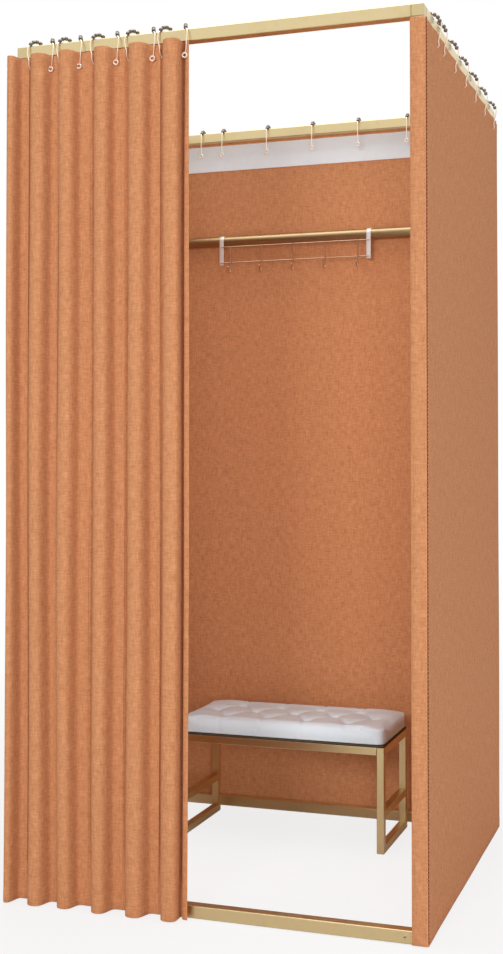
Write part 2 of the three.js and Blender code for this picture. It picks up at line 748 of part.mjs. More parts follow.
function cushionGeometry() {
  const halfX = benchWidth / 2 - cushionInset;
  const halfY = benchDepth / 2 - cushionInset;
  const points = [];
  const faces = [];
  // A share of the plan from -1 to 1 each way, pushed out by a distance, with its corners rounded.
  const plan = (u, v, out) => {
    const [sizeX, sizeY] = [halfX + out, halfY + out];
    let [x, y] = [Math.abs(u) * sizeX, Math.abs(v) * sizeY];
    const [cornerX, cornerY] = [x - sizeX + cushionCornerRadius, y - sizeY + cushionCornerRadius];
    if (cornerX > 0 && cornerY > 0) {
      const scale = Math.max(cornerX, cornerY) / Math.hypot(cornerX, cornerY);
      x = sizeX - cushionCornerRadius + cornerX * scale;
      y = sizeY - cushionCornerRadius + cornerY * scale;
    }
    return [Math.sign(u) * x, Math.sign(v) * y];
  };
  const edge = [];
  for (let i = 0; i < cushionColumns; i++) edge.push([i, 0]);
  for (let j = 0; j < cushionRows; j++) edge.push([cushionColumns, j]);
  for (let i = cushionColumns; i > 0; i--) edge.push([i, cushionRows]);
  for (let j = cushionRows; j > 0; j--) edge.push([0, j]);
  const toShares = ([i, j]) => [(2 * i) / cushionColumns - 1, (2 * j) / cushionRows - 1];

  for (const [up, out] of cushionSideShares.slice(0, -1)) {
    for (const place of edge) {
      points.push(...plan(...toShares(place), out * cushionBulge), up * cushionHeight);
    }
  }
  const sideRings = cushionSideShares.length - 1;
  const topStart = sideRings * edge.length;
  const topOut = cushionSideShares.at(-1)[1] * cushionBulge;
  for (let j = 0; j <= cushionRows; j++) {
    for (let i = 0; i <= cushionColumns; i++) {
      const [u, v] = toShares([i, j]);
      const [x, y] = plan(u, v, topOut);
      const rise = cushionCrown * (1 - u ** 4) * (1 - v ** 4);
      const inside = (1 - u ** 8) * (1 - v ** 8);
      points.push(x, y, cushionHeight + rise - inside * upholsteryDip(x, y, halfX, halfY));
    }
  }
  const topIndex = ([i, j]) => topStart + j * (cushionColumns + 1) + i;
  for (let ring = 0; ring < sideRings; ring++) {
    edge.forEach((place, i) => {
      const next = (i + 1) % edge.length;
      const [a, b] = [ring * edge.length + i, ring * edge.length + next];
      const top = ring === sideRings - 1;
      const above = [a + edge.length, b + edge.length];
      const [d, c] = top ? [topIndex(place), topIndex(edge[next])] : above;
      faces.push(a, b, c, a, c, d);
    });
  }
  for (let j = 0; j < cushionRows; j++) {
    for (let i = 0; i < cushionColumns; i++) {
      const [a, b, c, d] = [[i, j], [i + 1, j], [i + 1, j + 1], [i, j + 1]].map(topIndex);
      faces.push(a, b, c, a, c, d);
    }
  }
  const middle = points.length / 3;
  points.push(0, 0, 0);
  edge.forEach((_, i) => faces.push(middle, (i + 1) % edge.length, i));
  const geometry = new THREE.BufferGeometry();
  geometry.setAttribute("position", new THREE.Float32BufferAttribute(points, 3));
  geometry.setIndex(faces);
  return geometry;
}

buildFrame();
buildTopBeams();
buildPanels();
buildCurtain();
buildRail();
buildRack();
buildBench();

room.updateMatrixWorld(true);
const footprint = new THREE.Box3().setFromObject(room, true).getCenter(new THREE.Vector3());
room.position.set(-footprint.x, -footprint.y, 0);

export default room;
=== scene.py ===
# %% [markdown]
# # A portable fitting room
# A light booth of square metal tube stands free on the floor. Heavy terracotta cloth hangs on its right
# side, left side and rear, and a curtain in six soft folds closes the doorway. Inside are a clothes rail with
# a rack of hooks and a low padded bench. The measured parts arrive as solids, in metres, and each visible
# piece is made again here over its solid, with the softness and the finish that the solids leave out.

# %% Load the measured frame
import json
import math

import bmesh
import bpy
import numpy as np
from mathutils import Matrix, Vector, noise


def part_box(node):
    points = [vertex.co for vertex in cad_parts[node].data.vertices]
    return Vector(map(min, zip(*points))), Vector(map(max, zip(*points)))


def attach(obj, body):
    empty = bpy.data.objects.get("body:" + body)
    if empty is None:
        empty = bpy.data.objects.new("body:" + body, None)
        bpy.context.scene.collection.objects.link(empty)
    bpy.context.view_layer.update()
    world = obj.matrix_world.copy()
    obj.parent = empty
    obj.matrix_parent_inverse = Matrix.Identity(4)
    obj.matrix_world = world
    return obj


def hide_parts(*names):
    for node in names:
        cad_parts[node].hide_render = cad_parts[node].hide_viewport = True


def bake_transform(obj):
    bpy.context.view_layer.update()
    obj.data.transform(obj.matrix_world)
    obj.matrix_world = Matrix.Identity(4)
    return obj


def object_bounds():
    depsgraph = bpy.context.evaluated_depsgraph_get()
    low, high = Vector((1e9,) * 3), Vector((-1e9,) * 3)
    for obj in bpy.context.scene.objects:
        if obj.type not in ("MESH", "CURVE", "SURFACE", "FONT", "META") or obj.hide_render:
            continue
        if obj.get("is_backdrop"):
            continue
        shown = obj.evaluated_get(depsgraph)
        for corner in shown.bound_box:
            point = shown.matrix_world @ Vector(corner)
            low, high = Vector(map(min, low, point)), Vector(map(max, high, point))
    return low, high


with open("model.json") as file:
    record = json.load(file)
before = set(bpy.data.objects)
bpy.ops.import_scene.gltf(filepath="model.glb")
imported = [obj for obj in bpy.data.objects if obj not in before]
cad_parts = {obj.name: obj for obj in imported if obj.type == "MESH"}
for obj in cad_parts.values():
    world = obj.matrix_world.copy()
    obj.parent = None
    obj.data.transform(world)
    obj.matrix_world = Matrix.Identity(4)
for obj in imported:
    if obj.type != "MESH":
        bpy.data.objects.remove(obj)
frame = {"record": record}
cad_box = [list(corner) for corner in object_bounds()]
body_of = {n: b for b, ns in frame["record"]["behaviour"]["bodies"].items() for n in ns}

# %% [markdown]
# ## The camera
# The photograph was taken from the right of the doorway, a little above the middle of the booth, with the
# camera nearly level. Lines that stand upright in the booth stay upright in the picture, so the lens was
# shifted a little instead of being tilted. The sensor is fitted by its height, as the picture is tall.

# %% Place the camera
camera_data = bpy.data.cameras.new("photograph_view")
camera_data.sensor_fit = "VERTICAL"
camera_data.sensor_height = 36
camera_data.lens = 50.753
camera_data.shift_y = -0.0498
camera = bpy.data.objects.new("photograph_view", camera_data)
camera.location = (1.07199, -3.27944, 1.03022)
camera.rotation_euler = (math.radians(90 + 1.18), 0, math.radians(19.08))
bpy.context.scene.collection.objects.link(camera)
bpy.context.scene.camera = camera
bpy.context.scene.view_settings.view_transform = "Standard"
print("camera", round(camera.location.length, 2), "m from the booth's middle")

# %% [markdown]
# ## Helpers for nodes
# Materials and Geometry Nodes are both trees of nodes. One helper adds a node, sets its options, and feeds
# its inputs with either a number or another node's output, so each tree below reads like a recipe. Small
# ones built on it do a sum, make a vector, mix two colours and end a tree.


# %% A helper that adds a node and feeds it
def add(tree, kind, feeds=None, **options):
    node = tree.nodes.new(kind)
    for name, value in options.items():
        setattr(node, name, value)
    for key, value in (feeds or {}).items():
        if isinstance(value, bpy.types.NodeSocket):
            tree.links.new(value, node.inputs[key])
        else:
            node.inputs[key].default_value = value
    return node


def number(tree, operation, *values):
    return add(tree, "ShaderNodeMath", dict(enumerate(values)), operation=operation).outputs[0]


def vector(tree, x=0.0, y=0.0, z=0.0):
    return add(tree, "ShaderNodeCombineXYZ", {0: x, 1: y, 2: z}).outputs[0]


def mixed(tree, factor, low, high):
    """A colour that goes from low to high as the factor goes from 0 to 1."""
    return add(tree, "ShaderNodeMix", {"Factor": factor, 6: low, 7: high}, data_type="RGBA").outputs[2]


def new_group(name, kind, inputs, outputs):
    tree = bpy.data.node_groups.new(name, kind)
    for direction, sockets in (("INPUT", inputs), ("OUTPUT", outputs)):
        for label, socket, *default in sockets:
            made = tree.interface.new_socket(label, in_out=direction, socket_type="NodeSocket" + socket)
            if default:
                made.default_value = default[0]
    return tree, tree.nodes.new("NodeGroupInput").outputs, tree.nodes.new("NodeGroupOutput")


def give(tree, out, **results):
    """Links the results to a group's outputs and tells how many nodes it has."""
    for label, value in results.items():
        tree.links.new(value, out.inputs[label])
    print(tree.name, "has", len(tree.nodes), "nodes")


finish_outputs = [("Color", "Color"), ("Height", "Float"), ("Roughness", "Float")]
print("a finish gives", ", ".join(label for label, _ in finish_outputs))

# %% [markdown]
# ## Woven cloth
# The cloth is a heavy linen look-alike: a plain weave with uneven yarn. Up close one sees threads, and from
# a step away the uneven yarn gives short level and upright flecks and a soft mottling. Where a thread rises
# in the weave its colour is also painted a touch lighter, a painted highlight. The weave could be real
# geometry, but at a thread per millimetre a bump is enough. The pattern follows each sheet's own UV map,
# which is laid out in metres, so the threads bend with the folds.

# %% The weave as a shader group
weave, weave_in, weave_out = new_group(
    "woven_yarn",
    "ShaderNodeTree",
    [
        ("Place", "Vector"),
        ("Threads Per Metre", "Float", 800.0),
        ("Fleck", "Float", 0.5),
        ("Light Yarn", "Color"),
        ("Dark Yarn", "Color"),
    ],
    finish_outputs,
)
place = add(weave, "ShaderNodeSeparateXYZ", {0: weave_in["Place"]}).outputs


def yarn_wave(tree, along):
    turns = number(tree, "MULTIPLY", along, weave_in["Threads Per Metre"])
    return number(tree, "SINE", number(tree, "MULTIPLY", turns, math.pi))


def stretched_noise(tree, vector, stretch, detail=3.0, rough=0.6):
    scaled = add(tree, "ShaderNodeMapping", {"Vector": vector, "Scale": stretch}).outputs[0]
    feeds = {"Vector": scaled, "Scale": 1.0, "Detail": detail, "Roughness": rough}
    return add(tree, "ShaderNodeTexNoise", feeds).outputs["Fac"]


crossing = number(weave, "MULTIPLY", yarn_wave(weave, place[0]), yarn_wave(weave, place[1]))
level_fleck = stretched_noise(weave, weave_in["Place"], (55, 260, 1))
upright_fleck = stretched_noise(weave, weave_in["Place"], (260, 45, 1))
mottle = stretched_noise(weave, weave_in["Place"], (60, 34, 1), 6.0, 0.7)
fleck = number(weave, "MULTIPLY", number(weave, "ADD", level_fleck, upright_fleck), 0.5)
spread = number(weave, "MULTIPLY", number(weave, "SUBTRACT", fleck, 0.5), weave_in["Fleck"])
patchy = number(weave, "ADD", number(weave, "MULTIPLY", mottle, 0.7), 0.15)
share = number(weave, "ADD", number(weave, "MULTIPLY", spread, 3.2), patchy)
# The rising threads also lighten the mix a little: a painted highlight on the weave. Flecks and mottle are
# the yarn's own uneven tone.
threads = number(weave, "ADD", share, number(weave, "MULTIPLY", crossing, 0.06))
clamped = add(weave, "ShaderNodeClamp", {0: threads}).outputs[0]
yarn = mixed(weave, clamped, weave_in["Dark Yarn"], weave_in["Light Yarn"])
raised = number(weave, "ADD", number(weave, "MULTIPLY", crossing, 0.5), number(weave, "MULTIPLY", fleck, 1.6))
matt = number(weave, "ADD", number(weave, "MULTIPLY", mottle, 0.12), 0.82)
give(weave, weave_out, Color=yarn, Height=raised, Roughness=matt)


# %% A material that uses a group
def new_material(name, **constants):
    material = bpy.data.materials.new(name)
    material.use_nodes = True
    tree = material.node_tree
    surface = tree.nodes["Principled BSDF"]
    for key, value in constants.items():
        surface.inputs[key.replace("_", " ").title().replace("Ior", "IOR")].default_value = value
    return material, tree, surface


def linear(red, green, blue):
    """A colour written in the 0 to 255 values of a picture, as the linear values that shaders use."""
    shares = [channel / 255 for channel in (red, green, blue)]
    return tuple(c / 12.92 if c <= 0.04 else ((c + 0.055) / 1.055) ** 2.4 for c in shares) + (1,)


def finished(name, group, own_uv, values, strength, depth, **constants):
    """A material with the group's colour, roughness and relief, laid over its own UV map or in space."""
    material, tree, surface = new_material(name, **constants)
    if own_uv:
        place = add(tree, "ShaderNodeUVMap", uv_map="lay").outputs[0]
    else:
        place = add(tree, "ShaderNodeTexCoord").outputs["Object"]
    finish = add(tree, "ShaderNodeGroup", node_tree=group)
    for key, value in values.items():
        finish.inputs[key].default_value = value
    relief = {"Height": finish.outputs["Height"], "Strength": strength, "Distance": depth}
    tree.links.new(place, finish.inputs["Place"])
    tree.links.new(finish.outputs["Color"], surface.inputs["Base Color"])
    tree.links.new(finish.outputs["Roughness"], surface.inputs["Roughness"])
    tree.links.new(add(tree, "ShaderNodeBump", relief).outputs[0], surface.inputs["Normal"])
    return material


print("terracotta in linear values:", np.round(linear(226, 162, 116)[:3], 3).tolist())



# %% The cloths and threads
def woven(name, light, dark, threads, fleck, depth, **constants):
    values = {"Threads Per Metre": threads, "Fleck": fleck, "Light Yarn": light, "Dark Yarn": dark}
    return finished(name, weave, True, values, 0.55, depth, **constants)


terracotta_cloth = woven(
    "terracotta_cloth",
    linear(226, 162, 116),
    linear(178, 114, 75),
    700,
    0.6,
    0.0006,
    sheen_weight=0.03,
    sheen_roughness=0.5,
    specular_ior_level=0.1,
)
white_tape = woven(
    "white_tape",
    linear(244, 250, 254),
    linear(232, 237, 241),
    1300,
    0.2,
    0.0003,
    sheen_weight=0.1,
    specular_ior_level=0.3,
)
sewing_thread = woven(
    "sewing_thread", linear(236, 176, 128), linear(214, 148, 102), 2500, 0.1, 0.0001, specular_ior_level=0.4
)
# A dark brown thread, sewn only along the strip's outer edge, where it paints a shadow line.
shadow_line_thread = woven(
    "shadow_line_thread", linear(128, 66, 38), linear(98, 48, 28), 2500, 0.1, 0.0001, specular_ior_level=0.3
)
print("cloth materials:", terracotta_cloth.name, white_tape.name, sewing_thread.name, shadow_line_thread.name)

# %% [markdown]
# ## Satin metal
# The tubes are extruded and then coloured a pale champagne gold. Extrusion leaves faint lines along the
# bar, and hands leave dull patches. A stretched noise gives the lines, a broad one the patches, and both
# mostly change the roughness, because metal shows its finish in its reflections and not in its colour.

# %% Drawn lines and handling marks as a shader group
drawn, drawn_in, drawn_out = new_group(
    "drawn_metal",
    "ShaderNodeTree",
    [
        ("Place", "Vector"),
        ("Stretch", "Vector"),
        ("Clean Roughness", "Float", 0.3),
        ("Metal", "Color"),
        ("Dulled Metal", "Color"),
    ],
    finish_outputs,
)
stretch_feeds = {0: drawn_in["Place"], 1: drawn_in["Stretch"]}
lined = add(drawn, "ShaderNodeVectorMath", stretch_feeds, operation="MULTIPLY")
line_feeds = {"Vector": lined.outputs[0], "Scale": 1.0, "Detail": 4.0, "Roughness": 0.6}
lines = add(drawn, "ShaderNodeTexNoise", line_feeds).outputs["Fac"]
handled = stretched_noise(drawn, drawn_in["Place"], (9, 9, 9), 4.0, 0.7)
handled_range = {0: handled, 1: 0.52, 2: 0.75, 3: 0.0, 4: 1.0}
dull = add(drawn, "ShaderNodeMapRange", handled_range).outputs[0]
half_dull = number(drawn, "MULTIPLY", dull, 0.5)
tint = mixed(drawn, half_dull, drawn_in["Metal"], drawn_in["Dulled Metal"])
line_share = number(drawn, "MULTIPLY", lines, 0.12)
worn = number(drawn, "ADD", number(drawn, "MULTIPLY", dull, 0.1), line_share)
roughened = number(drawn, "ADD", worn, drawn_in["Clean Roughness"])
give(drawn, drawn_out, Color=tint, Height=lines, Roughness=roughened)


# %% The metals of the booth
def satin(name, metal, dulled, clean, stretch, own_uv=True, metallic=1.0):
    values = {"Stretch": stretch, "Clean Roughness": clean, "Metal": metal, "Dulled Metal": dulled}
    return finished(name, drawn, own_uv, values, 0.3, 0.00004, metallic=metallic)


along_bar = (6, 900, 1)
every_way = (240, 240, 240)
champagne = satin("champagne_tube", linear(226, 206, 158), linear(204, 184, 138), 0.26, along_bar)
cast = {"stretch": every_way, "own_uv": False}
connector_metal = satin("corner_connector", linear(216, 196, 150), linear(196, 176, 132), 0.32, **cast)
rail_metal = satin("clothes_rail_metal", linear(176, 152, 114), linear(150, 126, 92), 0.32, along_bar)
hook_wire_metal = satin("hook_metal", linear(255, 238, 218), linear(240, 218, 196), 0.25, **cast)
roller_metal = satin("roller_metal", linear(128, 120, 108), linear(78, 72, 64), 0.12, **cast)
ring_metal = satin("ring_nickel", linear(255, 236, 218), linear(246, 226, 208), 0.34, **cast)
strap_colours = (linear(232, 228, 224), linear(206, 202, 198))
strap_metal = satin("rack_strap_steel", *strap_colours, 0.38, metallic=0.5, **cast)
rack_metal = satin("rack_wire_steel", linear(214, 186, 160), linear(184, 156, 130), 0.3, **cast)
screw_metal = satin("screw_steel", linear(214, 200, 176), linear(180, 168, 148), 0.22, **cast)
print("metals:", [m.name for m in (champagne, connector_metal, rail_metal, hook_wire_metal, roller_metal)])

# %% [markdown]
# ## Leatherette, rubber and board
# The cushion is covered in white leatherette: a soft pebbled grain under a thin coat. Cells of a Voronoi
# pattern make the pebbles, and the colour goes darker towards their edges, where the relief sinks: painted
# shade in the creases, over a random cloudy tone. The feet are black rubber and the seat board is dark
# painted wood, both with a fine noise, so that no surface is one flat colour.

# %% Pebbled grain as a shader group
grain, grain_in, grain_out = new_group(
    "pebbled_grain",
    "ShaderNodeTree",
    [
        ("Place", "Vector"),
        ("Pebbles Per Metre", "Float", 900.0),
        ("Crown", "Color"),
        ("Crease", "Color"),
        ("Base Roughness", "Float", 0.4),
    ],
    finish_outputs,
)
pebble_feeds = {"Vector": grain_in["Place"], "Scale": grain_in["Pebbles Per Metre"], "Randomness": 0.9}
pebbles = add(grain, "ShaderNodeTexVoronoi", pebble_feeds, feature="F1").outputs["Distance"]
cloudy = stretched_noise(grain, grain_in["Place"], (16, 16, 16), 4.0, 0.6)
tone = number(grain, "ADD", number(grain, "MULTIPLY", pebbles, 0.35), number(grain, "MULTIPLY", cloudy, 0.4))
clear_tone = add(grain, "ShaderNodeClamp", {0: tone}).outputs[0]
# The crease colour, far from a cell's middle where the relief sinks, is painted shade; the cloudy noise is
# random tone.
leather = mixed(grain, clear_tone, grain_in["Crown"], grain_in["Crease"])
domed = number(grain, "SUBTRACT", 1.0, pebbles)
sheen_change = number(grain, "MULTIPLY", cloudy, 0.14)
rubbed = number(grain, "ADD", sheen_change, grain_in["Base Roughness"])
give(grain, grain_out, Color=leather, Height=domed, Roughness=rubbed)


# %% The soft and dark finishes
def grained(name, crown, crease, pebbles_per_metre, rough, depth, **constants):
    values = {"Pebbles Per Metre": pebbles_per_metre, "Crown": crown, "Crease": crease}
    values["Base Roughness"] = rough
    return finished(name, grain, False, values, 0.35, depth, **constants)


leatherette = grained(
    "white_leatherette",
    linear(224, 238, 247),
    linear(204, 218, 227),
    700,
    0.34,
    0.0002,
    specular_ior_level=0.45,
)
# The buttons are covered in the same leatherette, painted a little lighter: a painted highlight for the light
# they catch.
lightened_button_cover = grained(
    "lightened_button_leatherette",
    linear(238, 246, 250),
    linear(226, 233, 238),
    900,
    0.26,
    0.0001,
    specular_ior_level=0.5,
)
foot_rubber = grained("foot_rubber", linear(44, 42, 41), linear(30, 29, 28), 1500, 0.7, 0.0001)
seat_board = grained("seat_board", linear(84, 68, 52), linear(62, 50, 38), 400, 0.6, 0.0001)
print("grained:", leatherette.name, foot_rubber.name, seat_board.name)

# %% [markdown]
# ## Helpers for meshes
# Most pieces here are a section carried along a line: a square loop along a bar, a circle along a wire, a
# flat strip along a strap. One helper joins rings of points into such a skin and lays a UV map over it in
# metres, so that finishes follow the piece. A second helper turns modifiers into plain mesh.


# %% Meshes with a UV map in metres
def new_object(name, mesh, material):
    mesh.materials.append(material)
    piece = bpy.data.objects.new(name, mesh)
    bpy.context.scene.collection.objects.link(piece)
    return piece


def turned_out(mesh):
    form = bmesh.new()
    form.from_mesh(mesh)
    bmesh.ops.recalc_face_normals(form, faces=form.faces)
    form.to_mesh(mesh)
    form.free()


def laid_mesh(name, points, faces, lay, material, sharp=None):
    """A smooth mesh with its faces turned out and a UV map in metres."""
    mesh = bpy.data.meshes.new(name)
    mesh.from_pydata(np.reshape(points, (-1, 3)).tolist(), [], faces)
    mesh.uv_layers.new(name="lay").data.foreach_set("uv", np.asarray(lay, float).ravel())
    mesh.shade_smooth()
    turned_out(mesh)
    if sharp:
        mesh.set_sharp_from_angle(angle=math.radians(sharp))
    return new_object(name, mesh, material)


print("made helpers:", new_object.__name__, turned_out.__name__, laid_mesh.__name__)


# %% Skins made of rings
def skin(name, rings, material, loop=False, caps=False, sharp=35):
    """Joins rings of points, each closed on itself. loop joins the last ring to the first."""
    rings = np.asarray(rings, float)
    count, around = rings.shape[:2]
    steps = np.linalg.norm(np.diff(rings[:, 0], axis=0), axis=1)
    run = np.concatenate([[0], np.cumsum(steps), [steps.sum() + 0.001]])
    girth = np.linalg.norm(np.diff(np.vstack([rings[0], rings[0, :1]]), axis=0), axis=1)
    turn = np.concatenate([[0], np.cumsum(girth)])
    faces, lay = [], []
    for i in range(count if loop else count - 1):
        j = (i + 1) % count
        for a in range(around):
            b = (a + 1) % around
            faces.append((i * around + a, i * around + b, j * around + b, j * around + a))
            lay += [(run[i], turn[a]), (run[i], turn[a + 1])]
            lay += [(run[i + 1], turn[a + 1]), (run[i + 1], turn[a])]
    if caps:
        for ring, order in ((0, range(around - 1, -1, -1)), (count - 1, range(around))):
            faces.append([ring * around + a for a in order])
            lay.extend([(run[ring], turn[a]) for a in order])
    return laid_mesh(name, rings, faces, lay, material, sharp)


print("made a helper:", skin.__name__)


# %% Plain meshes, bodies and joined pieces
def settled(piece):
    """The piece with its modifiers turned into plain mesh."""
    graph = bpy.context.evaluated_depsgraph_get()
    mesh = bpy.data.meshes.new_from_object(piece.evaluated_get(graph))
    piece.modifiers.clear()
    piece.data = mesh
    return piece


def flat_faces_flat(piece):
    piece.modifiers.new("flat_faces", "WEIGHTED_NORMAL").keep_sharp = True
    return settled(piece)


def place_on(piece, slot, body, *nodes):
    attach(piece, body)
    if nodes:
        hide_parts(*nodes)
    return piece


def joined(name, pieces):
    """Several objects made into one mesh."""
    with bpy.context.temp_override(active_object=pieces[0], selected_editable_objects=pieces):
        bpy.ops.object.join()
    pieces[0].name = pieces[0].data.name = name
    return pieces[0]


print("made helpers:", settled.__name__, flat_faces_flat.__name__, place_on.__name__, joined.__name__)


# %% [markdown]
# ## The square tubes
# Four posts, four top beams and four bottom rails are cut from one 28 mm square tube with small rounded
# edges. They could be cubes with a bevel, but a real tube is open at its ends, so each is a rounded square
# loop carried along the bar, out along the outside and back along the bore. Flat faces keep flat shading
# and only the rounded edges catch a line of light.


# %% Sections: a rounded rectangle and a circle
def rounded_section(width, height, radius, steps=5):
    points = []
    for quarter, (x, y) in enumerate([(1, 1), (-1, 1), (-1, -1), (1, -1)]):
        for step in range(steps):
            angle = math.pi / 2 * (quarter + step / (steps - 1))
            across, up = x * (width / 2 - radius), y * (height / 2 - radius)
            points.append((across + radius * math.cos(angle), up + radius * math.sin(angle)))
    return np.array(points)


def circle_section(radius, sides=12):
    angles = np.linspace(0, 2 * math.pi, sides, endpoint=False)
    return radius * np.stack([np.cos(angles), np.sin(angles)], axis=1)


def on_axis(section, axis, at, middle):
    """The section's points set across one axis, at a place along it."""
    ring = np.zeros((len(section), 3))
    across = [a for a in range(3) if a != axis]
    ring[:, across] = section + np.asarray(middle)[across]
    ring[:, axis] = at
    return ring


print("a rounded section has", len(rounded_section(0.028, 0.028, 0.002)), "points")


# %% Square tube along an axis
def square_tube(name, lo, hi, axis, side, wall, radius, material):
    middle = [(a + b) / 2 for a, b in zip(lo, hi)]
    inner = side - 2 * wall
    outer = rounded_section(side, side, radius)
    bore = rounded_section(inner, inner, max(radius - wall, 0.0004))
    start, end = lo[axis], hi[axis]
    stations = [(outer, start), (outer, end), (bore, end), (bore, start)]
    rings = [on_axis(section, axis, at, middle) for section, at in stations]
    return flat_faces_flat(skin(name, rings, material, loop=True, sharp=50))


print("made a helper:", square_tube.__name__)

# %% Posts, bottom rails and top beams
tube_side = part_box("bottom_rail_front")[1].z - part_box("bottom_rail_front")[0].z
tube_wall, tube_edge, joint_gap = 0.0015, 0.002, 0.0007
corners = [(end, side) for end in ("front", "rear") for side in ("left", "right")]
for end, side in corners:
    node = f"post_{end}_{side}"
    lo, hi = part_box(node)
    post = square_tube(f"{end}_{side}_post", lo, hi, 2, tube_side, tube_wall, tube_edge, champagne)
    place_on(post, "champagne_tube", "booth", node)
beam_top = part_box("top_beam_front")[1].z
for side, axis in (("front", 0), ("rear", 0), ("left", 1), ("right", 1)):
    lo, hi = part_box(f"bottom_rail_{side}")
    rail = square_tube(f"{side}_bottom_rail", lo, hi, axis, tube_side, tube_wall, tube_edge, champagne)
    place_on(rail, "champagne_tube", "booth", f"bottom_rail_{side}")
    lift, joint = Vector((0, 0, beam_top - hi.z)), Vector()
    joint[axis] = joint_gap
    beam_ends = (lo + lift + joint, hi + lift - joint)
    beam = square_tube(f"{side}_top_beam", *beam_ends, axis, tube_side, tube_wall, tube_edge, champagne)
    place_on(beam, "champagne_tube", "booth", f"top_beam_{side}")
print("tube side", round(tube_side * 1000, 1), "mm, top of the beams", round(beam_top, 3), "m")

# %% [markdown]
# ## Corner connectors and feet
# Each corner is a small cast block with a square plug in every tube. Its rounded edges make the fine joint
# line beside the beam. The block is a cube with a bevel of four steps. Short plugs fill the tube ends. The
# feet are low rubber glides, turned on a lathe: a profile swept round an axis.


# %% Blocks with rounded edges
def block(name, lo, hi, radius, material, steps=4):
    mesh = bpy.data.meshes.new(name)
    form = bmesh.new()
    bmesh.ops.create_cube(form, size=1)
    for point in form.verts:
        point.co = Vector([lo[a] if point.co[a] < 0 else hi[a] for a in range(3)])
    form.to_mesh(mesh)
    form.free()
    mesh.shade_smooth()
    piece = new_object(name, mesh, material)
    edge = piece.modifiers.new("rounded_edges", "BEVEL")
    edge.width, edge.segments = radius, steps
    return flat_faces_flat(piece)


def turned(name, profile, axis, middle, material, sides=48, sharp=35):
    """A closed profile of (along the axis, radius) pairs swept round an axis."""
    circle = circle_section(1, sides)
    rings = [on_axis(circle * max(r, 1e-5), axis, middle[axis] + at, middle) for at, r in profile]
    return skin(name, rings, material, caps=True, sharp=sharp)


print("made helpers:", block.__name__, turned.__name__)

# %% Corner blocks, plugs and feet
foot_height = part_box("bottom_rail_front")[0].z
corner_edge, plug_edge, plug_play, plug_reach = 0.0022, 0.001, 0.0004, 0.02
for end, side in corners:
    lo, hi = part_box(f"post_{end}_{side}")
    inward = (1 if side == "left" else -1, 1 if end == "front" else -1)
    for level, base in (("top", beam_top - tube_side), ("bottom", foot_height)):
        cube_lo, cube_hi = Vector((lo.x, lo.y, base)), Vector((hi.x, hi.y, base + tube_side))
        parts = [block("corner", cube_lo, cube_hi, corner_edge, connector_metal)]
        inner = tube_side / 2 - tube_wall - plug_play
        centre = (cube_lo + cube_hi) / 2
        reach = tube_side / 2 + plug_reach
        for axis, toward in ((0, inward[0]), (1, inward[1]), (2, -1 if level == "top" else 1)):
            plug_lo, plug_hi = centre - Vector([inner] * 3), centre + Vector([inner] * 3)
            if toward > 0:
                plug_hi[axis] = centre[axis] + reach
            else:
                plug_lo[axis] = centre[axis] - reach
            parts.append(block("plug", plug_lo, plug_hi, plug_edge, connector_metal, 2))
        corner = joined(f"{level}_{end}_{side}_connector", parts)
        place_on(corner, "corner_connector", "booth", f"connector_{level}_{end}_{side}")
    foot_lo, foot_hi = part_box(f"glide_foot_{end}_{side}")
    wide = (foot_hi.x - foot_lo.x) / 2
    profile = [(0, 0), (0, wide - 0.001), (0.0003, wide - 0.0003), (0.0012, wide), (0.0017, wide - 0.0003)]
    profile += [(0.0017, 0.004), (foot_hi.z, 0.004), (foot_hi.z, 0)]
    middle = ((foot_lo.x + foot_hi.x) / 2, (foot_lo.y + foot_hi.y) / 2, 0)
    foot = turned(f"{end}_{side}_foot", profile, 2, middle, foot_rubber)
    place_on(foot, "foot_rubber", "booth", f"glide_foot_{end}_{side}")
print("corner blocks", round(tube_side * 1000, 1), "mm with plugs, foot", round(wide * 2000, 1), "mm across")

# %% [markdown]
# ## Screws
# A small countersunk screw locks the front and the rear bottom rail at each end, beside the corner block.
# The same head repeats, so Geometry Nodes put it on points: a mesh with one vertex a screw, which carries
# the direction that the head faces. The trees below share a few short recipes.


# %% Recipes that the geometry trees share
def moved(tree, geometry, **how):
    """The geometry with a translation, a rotation or a scale."""
    feeds = {part.title(): value for part, value in how.items()}
    return add(tree, "GeometryNodeTransform", {"Geometry": geometry} | feeds).outputs[0]


def together(tree, *parts):
    whole = add(tree, "GeometryNodeJoinGeometry")
    for part in parts:
        tree.links.new(part, whole.inputs[0])
    return whole.outputs[0]


def own_value(tree, label, kind):
    """A value that every point carries."""
    return add(tree, "GeometryNodeInputNamedAttribute", {"Name": label}, data_type=kind).outputs[0]


def aimed(tree, direction):
    """The turn that lays a form's z along the direction."""
    return add(tree, "FunctionNodeAlignRotationToVector", {"Vector": direction}, axis="Z").outputs[0]


def on_points(tree, points, form, turn=None):
    """The form made real on every point."""
    feeds = {"Points": points, "Instance": form} | ({"Rotation": turn} if turn else {})
    spots = add(tree, "GeometryNodeInstanceOnPoints", feeds)
    return add(tree, "GeometryNodeRealizeInstances", {"Geometry": spots.outputs[0]}).outputs[0]


def smooth(tree, geometry):
    return add(tree, "GeometryNodeSetShadeSmooth", {"Geometry": geometry}).outputs[0]


def coated(tree, geometry, material):
    return add(tree, "GeometryNodeSetMaterial", {"Geometry": geometry, "Material": material}).outputs[0]


recipes = (moved, together, own_value, aimed, on_points, smooth, coated)
print("made helpers:", ", ".join(recipe.__name__ for recipe in recipes))

